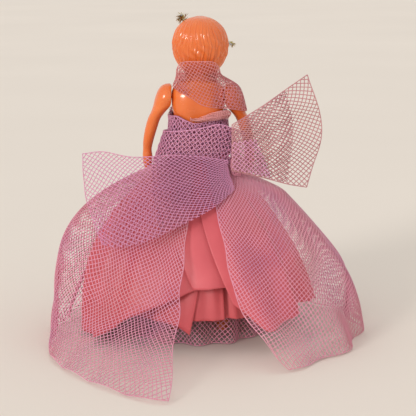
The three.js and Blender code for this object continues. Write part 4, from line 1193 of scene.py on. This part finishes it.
def arm_reach(degrees, z, clear):
    """How far out the right arm's far side is along each direction from the neck's axis."""
    top_z, tip_z = ARM_SHAPE[0][0], ARM_SHAPE[-1][0]
    _, middle, half, deep, forward = limb_size(ARM_SHAPE, clamp(z, tip_z, top_z))
    half = half + clear
    deep = deep + clear
    turn = np.radians(degrees)
    x, y = np.sin(turn), -np.cos(turn)
    a = (x / half) ** 2 + (y / deep) ** 2
    b = x * middle / half**2 + y * forward / deep**2
    c = (middle / half) ** 2 + (forward / deep) ** 2 - 1
    inside = b * b - a * c
    far = (b + np.sqrt(np.maximum(inside, 0))) / a
    return np.where((inside > 0) & (b > 0) & (z < top_z + 0.4), far, 0)


def spread(values, reach, axis, joined):
    """Joins each value with its neighbours along an axis, by their largest or their mean."""
    size = values.shape[axis]
    shifts = [np.clip(np.arange(size) + k, 0, size - 1) for k in range(-reach, reach + 1)]
    return joined([np.take(values, shift, axis=axis) for shift in shifts], axis=0)


def drawn_taut(reach):
    """Spans the hollows of each column of a surface, as net does when it is drawn tight."""
    reach = reach.copy()
    for k in (16, 8, 4, 2, 1) * 3:
        reach[k:-k] = np.maximum(reach[k:-k], (reach[2 * k:] + reach[:-2 * k]) / 2)
    return reach


def shawl_height(degrees, down):
    _, top_z = cowl_top(degrees)
    return lerp(top_z, through(SHAWL_HEM, degrees), down)


def shawl_surface(clear):
    """Net from the cowl down over the shoulders and the right upper arm, drawn taut between them."""
    first, last = SHAWL_HEM[0][0], SHAWL_HEM[-1][0]
    degrees, down = np.meshgrid(np.linspace(first, last, SHAWL_COLUMNS), np.linspace(0, 1, SHAWL_ROWS))
    z = shawl_height(degrees, down)
    cowl_radius, _ = cowl_top(degrees)
    reach = np.maximum(torso_reach(degrees, z, clear), arm_reach(degrees, z, clear))
    reach = np.maximum(reach, head_reach(z, clear + 0.7))
    reach = np.maximum(reach, (cowl_radius + clear - 0.4) * (down < 0.06))
    reach = np.maximum(reach, SHAWL_LEAST_RADIUS + clear)
    reach = drawn_taut(spread(spread(reach, 3, 1, np.max), 2, 0, np.max))
    reach = spread(spread(spread(reach, 3, 1, np.mean), 3, 1, np.mean), 2, 0, np.mean)

    def place(u, v):
        across = clamp(u)
        radius, _, _ = bilinear(reach, across * (SHAWL_COLUMNS - 1), clamp(v) * (SHAWL_ROWS - 1))
        degrees = lerp(first, last, across)
        ripple = 0.25 * np.cos(np.radians(degrees) * 14) * v
        return polar(degrees, radius + ripple, shawl_height(degrees, v))

    return place


def make_shawl():
    # The lining's coral paints in the neck seen through the net, and painted shade.
    net("cowl_lining_net", collar, NET_CORAL_PAINTED_SHADE, replaced=["shawl_collar"], degrees=35, gathers=(1.1, 1),
        slack=evenly_cut, radius=0.18, held="folded", rests_on=["torso_back_shell"], edges=("upper",))
    rests = ["torso_back_shell", "right_arm"]
    lining = dict(degrees=20, pitch=1.5, radius=0.16, held="draped", edges=())
    net("shawl_left_inner_net", shawl_surface(clear=0.6), NET_ROSE, high=0.19, rests_on=["torso_back_shell"],
        **lining)
    outer = net("shawl_net", shawl_surface(clear=1.05), NET_ROSE, body=None, degrees=42, gathers=(1, 1.1),
                pitch=1.45, radius=0.145, held="draped", rests_on=rests)
    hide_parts("shawl_back", "shawl_front", "shawl_sleeve")
    inner = net("shawl_inner_net", shawl_surface(clear=0.5), NET_ROSE, body=None, low=0.38, high=0.62,
                rests_on=rests, **lining)
    for layer in (outer, inner):
        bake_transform(layer)


# Doll
def hair_share(turn, share):
    """Where the moulded hair is: one on the hair, nothing on the face."""
    sides = smooth(np.abs(turn), 1.0, 1.25)
    fringe = smooth(share, 0.64, 0.72)
    return np.maximum(sides, fringe) * smooth(share, 0.08, 0.18)


def hair_relief(turn, share):
    """Fine strands from the crown down, with waved locks round the middle."""
    wave = 0.5 * np.sin(share * 13 + 2 * np.sin(turn * 3))
    fine = np.cos(turn * 46 + 3 * wave) + 0.7 * np.cos(turn * 71 + 5 * wave + 1)
    locks = np.cos(turn * 23 + 4 * np.sin(share * 9 + turn * 2)) * bump(share - 0.4, 0.2)
    return 0.17 * fine * (1 - share) ** 0.25 + 0.3 * locks


def head_rings(columns, rows):
    """Rings of the head from the neck up, with each point's turn from the face and height share."""
    turn, share = ring_grid(columns, 0, 1, rows, first_turn=-math.pi)
    hair = hair_share(turn, share) * (hair_relief(turn, share) - 0.2)
    nose = 1.5 * bump(turn, 0.13) * bump(share - 0.36, 0.07)
    cheeks = 0.7 * bump(np.abs(turn) - 0.62, 0.34) * bump(share - 0.28, 0.13)
    chin = 0.6 * bump(turn, 0.3) * bump(share - 0.12, 0.07)
    eye_hollow = 0.45 * bump(turn, 0.6) * bump(share - 0.46, 0.06)
    lips = 0.3 * bump(turn, 0.16) * bump(share - 0.215, 0.03)
    out = hair + nose + cheeks + chin - eye_hollow + lips
    half_width, half_depth, shift = head_size(share)
    x = (half_width + out) * np.sin(turn)
    y = shift + (half_depth + out) * np.cos(turn)
    return shifted(stacked(x, y, HEAD_BASE_Z + share * HEAD_HEIGHT)), turn, share


def lay(paint, where, colour):
    """Paints a colour over what is there, by a share for each point."""
    rgb = np.array(tint(*colour)[:3])
    where = clamp(where)[..., None]
    alpha = paint[..., 3:]
    total = where + alpha * (1 - where)
    mixed = (rgb * where + paint[..., :3] * alpha * (1 - where)) / np.maximum(total, 1e-6)
    return np.concatenate([mixed, total], axis=-1)


def stroke(distance, half_width, soft):
    """One on a painted line or spot, fading to nothing at its edge."""
    return smooth(half_width - np.abs(distance), 0, soft)


def face_paint(turn, share):
    """Calm painted eyes, brows, lips and cheeks."""
    x = np.abs(turn) * FACE_RADIUS
    z = share * HEAD_HEIGHT
    eye_x, eye_z = x - EYE_X, z - EYE_Z
    blush = 0.35 * bump(x - 6.2, 2.4) * bump(z - 7.6, 1.9)
    lid = 1.25 - 0.26 * eye_x**2
    white = stroke(eye_z, lid, 0.25)
    gaze = np.hypot(eye_x + 0.1, eye_z - 0.1)
    glint = np.hypot(eye_x - 0.25, eye_z - 0.5)
    lash = stroke(eye_z - lid - 0.1, 0.26, 0.18) * stroke(eye_x, 2.5, 0.4)
    brow_line = eye_z - 3.6 + 0.1 * (eye_x - 0.4) ** 2
    brow = stroke(brow_line, 0.3, 0.25) * stroke(eye_x - 0.2, 2.4, 0.6)
    lip = 0.75 - 0.16 * x**2 - 0.12 * bump(x, 0.35)
    parting = stroke(z - LIP_Z - 0.05, 0.14, 0.12) * stroke(x, 1.8, 0.4)
    layers = [
        (blush, (222, 70, 60)),
        (white, (240, 234, 224)),
        (white * stroke(gaze, 1.15, 0.2), (92, 122, 150)),
        (white * stroke(gaze, 0.6, 0.2), (30, 26, 26)),
        (stroke(glint, 0.3, 0.2), (250, 250, 248)),
        (lash, (58, 34, 26)),
        (0.85 * brow, (120, 62, 36)),
        (stroke(z - LIP_Z, lip, 0.25), (196, 52, 54)),
        (0.6 * parting, (140, 30, 36)),
    ]
    paint = np.zeros((*turn.shape, 4))
    for where, colour in layers:
        paint = lay(paint, where, colour)
    return paint


def neck_socket(turn):
    """Rings of the round opening that the neck stands in, from its roof down to its mouth."""
    z = HEAD_BASE_Z + np.array([[NECK_SOCKET_DEPTH], [0]])
    return turned(stacked(NECK_SOCKET_RADIUS * np.sin(turn), NECK_SOCKET_RADIUS * np.cos(turn), z))


def make_head():
    rings, turn, share = head_rings(columns=360, rows=170)
    socket = neck_socket(turn[0])
    piece = loft("head", np.concatenate([socket, rings]))
    paint = face_paint(turn, share).reshape(-1, 4)
    paint = np.concatenate([np.zeros((socket.size // 3, 4)), paint, np.zeros((2, 4))])
    layer = piece.data.attributes.new("paint", "FLOAT_COLOR", "POINT")
    layer.data.foreach_set("color", paint.astype(np.float32).ravel())
    dress(piece, PLASTIC_PAINTED, "head", ["head_back_shell", "head_face_shell"])


def crown_point(t):
    """The crown's line over the head, and the way out from the head there."""
    turn = lerp(CROWN_START, CROWN_END, t)
    share = lerp(CROWN_LOW, CROWN_HIGH, (1 - np.cos(turn - CROWN_LOW_TURN)) / 2)
    half_width, half_depth, shift = head_size(share)
    middle = HEAD_MIDDLE * HEAD_HEIGHT
    out = stacked(np.sin(turn) * half_width, np.cos(turn) * half_depth, share * HEAD_HEIGHT - middle)
    point = out + stacked(0, shift, HEAD_BASE_Z + middle) + CROWN_GAP * unit(out)
    return shifted(point), turned(unit(out))


def turned(points):
    """Turns the head's own points to where the head looks."""
    lean = math.radians(HEAD_TURN)
    x = points[..., 0] * math.cos(lean) - points[..., 1] * math.sin(lean)
    y = points[..., 0] * math.sin(lean) + points[..., 1] * math.cos(lean)
    return stacked(x, y, points[..., 2])


def shifted(points):
    return turned(points) + np.array([HEAD_SHIFT, 0, 0])


def make_crown():
    """Narrow curled strips of foil standing out all round the wire."""
    rng = np.random.default_rng(11)
    t = np.sort(rng.uniform(0, 1, CROWN_STRIPS))
    base, out = crown_point(t)
    along = unit(crown_point(clamp(t + 0.01))[0] - crown_point(clamp(t - 0.01))[0])
    across = np.cross(along, out)
    turn = rng.uniform(-2.0, 2.0, CROWN_STRIPS)[:, None]
    lean = rng.uniform(-0.9, 0.9, CROWN_STRIPS)[:, None]
    droop = bump(t, 0.14)[:, None] * np.array([-1.2, 0, -0.8])
    direction = unit(np.cos(turn) * out + np.sin(turn) * across + lean * along + droop)
    curl = unit(np.cross(direction, along) + rng.uniform(-0.6, 0.6, (CROWN_STRIPS, 3)))
    length = (rng.uniform(0.8, 2.8, CROWN_STRIPS) * lerp(1.5, 0.5, t**0.4))[:, None]
    width = unit(np.cross(direction, curl)) * STRIP_HALF_WIDTH
    points = []
    for step in np.linspace(0, 1, STRIP_POINTS):
        spine = base + direction * (0.3 + length * step) + curl * (0.5 * length * step**2)
        points += [spine - width * (1 - 0.4 * step), spine + width * (1 - 0.4 * step)]
    points = np.stack(points, axis=1).reshape(-1, 3)
    first = np.arange(CROWN_STRIPS) * 2 * STRIP_POINTS
    faces = []
    for k in range(0, 2 * STRIP_POINTS - 2, 2):
        faces.append(np.stack([first + k, first + k + 1, first + k + 3, first + k + 2], axis=1))
    piece = mesh_piece("crown_tinsel_strips", points, [np.concatenate(faces)])
    dress(piece, TINSEL, "head", ["crown_tinsel"])


def torso_rings(sides, rows):
    """Rings of the torso up to the top of the neck, with its seam, spine and shoulder blades."""
    turn, z = ring_grid(sides, TORSO_SHAPE[0][0], TORSO_SHAPE[-1][0], rows)
    from_back = turn - 1.5 * math.pi
    seam = 0.18 * (bump(np.sin(turn / 2), 0.02) + bump(np.cos(turn / 2), 0.02))
    spine = 0.5 * bump(from_back, 0.16) * bump(z - 100, 9)
    blades = 0.5 * bump(np.abs(from_back) - 0.62, 0.34) * bump(z - 103, 4)
    out = blades - spine - seam
    half_width, half_depth, shift = row_at(TORSO_SHAPE, z)
    power = chest_power(z)
    x = (half_width + out) * squared(np.cos(turn), power)
    y = shift + (half_depth + out) * squared(np.sin(turn), power)
    limit = lerp(HIP_FACE_X, SHOULDER_FACE_X + 0.26, smooth(z, HIP_Z + 7.4, HIP_Z + 8.2))
    return stacked(clamp(x, -limit, limit), y, z)


def limb_rings(shape, side, sides, rows):
    """Rings down a limb that is flat where it meets the torso; side is 1 on the doll's right."""
    turn, z = ring_grid(sides, shape[0][0], shape[-1][0], rows)
    inner, middle, half, deep, forward = limb_size(shape, z)
    x = np.maximum(middle + half * np.cos(turn), inner)
    return stacked(side * x, forward + deep * np.sin(turn), z)


def fingers(rings, side):
    """Grooves between the fingers of the mitten hand, and the thumb's swelling in front."""
    x, y, z = np.moveaxis(rings, -1, 0)
    low = 1 - smooth(z, 80.5, 82)
    grooves = sum(bump(y - 3 - offset, 0.22) for offset in (-1.25, 0, 1.25))
    x = x - np.sign(x - side * HAND_X) * 0.3 * grooves * low
    thumb = bump(z - 83.4, 1.6) * smooth(y, 3, 5)
    return stacked(x, y + 0.9 * thumb, z)


def shoe_edges(rings):
    """A groove over the sole and a rolled top edge round the moulded shoe."""
    x, y, z = np.moveaxis(rings, -1, 0)
    middle = rings.mean(axis=1, keepdims=True)
    out = unit(np.stack([x, y], axis=-1) - middle[..., :2])
    lift = 0.22 * bump(z - 5.6, 0.5) - 0.2 * bump(z - 1.1, 0.22)
    return stacked(x + out[..., 0] * lift, y + out[..., 1] * lift, z)


def make_body():
    torso = loft("torso", torso_rings(sides=160, rows=170))
    dress(torso, PLASTIC, "torso", ["torso_back_shell", "torso_front_shell"])
    for name, side in (("right", 1), ("left", -1)):
        arm = fingers(limb_rings(ARM_SHAPE, side, sides=72, rows=150), side)
        dress(loft(f"{name}_arm_cast", arm), PLASTIC, f"{name}_arm", [f"{name}_arm"])
        leg = shoe_edges(limb_rings(LEG_SHAPE, side, sides=64, rows=200))
        dress(loft(f"{name}_leg_cast", leg), PLASTIC, f"{name}_leg", [f"{name}_leg"])


def dress_cad_nodes():
    """Looks for the pieces that keep their CAD solids: studs, bars, elastics and the crown's wire."""
    looks = {"stud": STEEL, "bar": STEEL, "wire": STEEL, "elastic": ELASTIC}
    for name, node in frame["nodes"].items():
        look = looks.get(name.split("_")[-1])
        if look:
            node.data.materials.clear()
            node.data.materials.append(look)


# Camera, floor and light
def make_camera():
    data = bpy.data.cameras.new("camera")
    data.lens = CAMERA_LENS
    data.sensor_width = CAMERA_SENSOR
    data.clip_end = CAMERA_CLIP_METRES
    camera = put("camera", data)
    tilt = math.radians(CAMERA_ELEVATION)
    aim = Vector(CAMERA_AIM)
    camera.location = (aim + CAMERA_DISTANCE * Vector((0, -math.cos(tilt), math.sin(tilt)))) * MM
    camera.rotation_euler = (math.pi / 2 - tilt, 0, 0)
    bpy.context.scene.camera = camera


def make_floor():
    corners = np.array([[-1, -1, 0], [1, -1, 0], [1, 1, 0], [-1, 1, 0]], float)
    floor = mesh_piece("floor", corners * FLOOR_HALF_SIZE, [np.array([[0, 1, 2, 3]])])
    floor.data.materials.append(floor_look())
    return floor


def make_key():
    """A broad even light from behind the doll's left, like a large window far off."""
    data = bpy.data.lights.new("key", "SUN")
    data.energy = KEY_STRENGTH
    data.angle = math.radians(KEY_SPREAD)
    data.color = KEY_COLOUR
    light = put("key", data)
    light.rotation_euler = (-Vector(KEY_FROM)).to_track_quat("-Z", "Y").to_euler()
    return light


def make_world():
    """Soft even light, and a pale backdrop where the camera sees past the floor."""
    world = bpy.data.worlds.new("studio")
    bpy.context.scene.world = world
    world.use_nodes = True
    tree = world.node_tree
    light = fill(tree.nodes["Background"], Color=SKY_COLOUR, Strength=SKY_STRENGTH)
    seen = add_node(tree, "Background", Color=BACKDROP_COLOUR)
    mix = add_node(tree, "MixShader", Fac=add_node(tree, "LightPath").outputs["Is Camera Ray"])
    tree.links.new(light.outputs["Background"], mix.inputs[1])
    tree.links.new(seen.outputs["Background"], mix.inputs[2])
    fill(tree.nodes["World Output"], Surface=mix.outputs["Shader"])


def make_studio():
    make_world()
    key = make_key()
    make_floor()
    bpy.context.scene.view_settings.view_transform = "Standard"


# The scene, camera first
make_camera()
make_studio()
make_body()
make_head()
make_crown()
dress_cad_nodes()
make_skirts()
waist_tape()
make_bodice()
make_sash()
make_shawl()
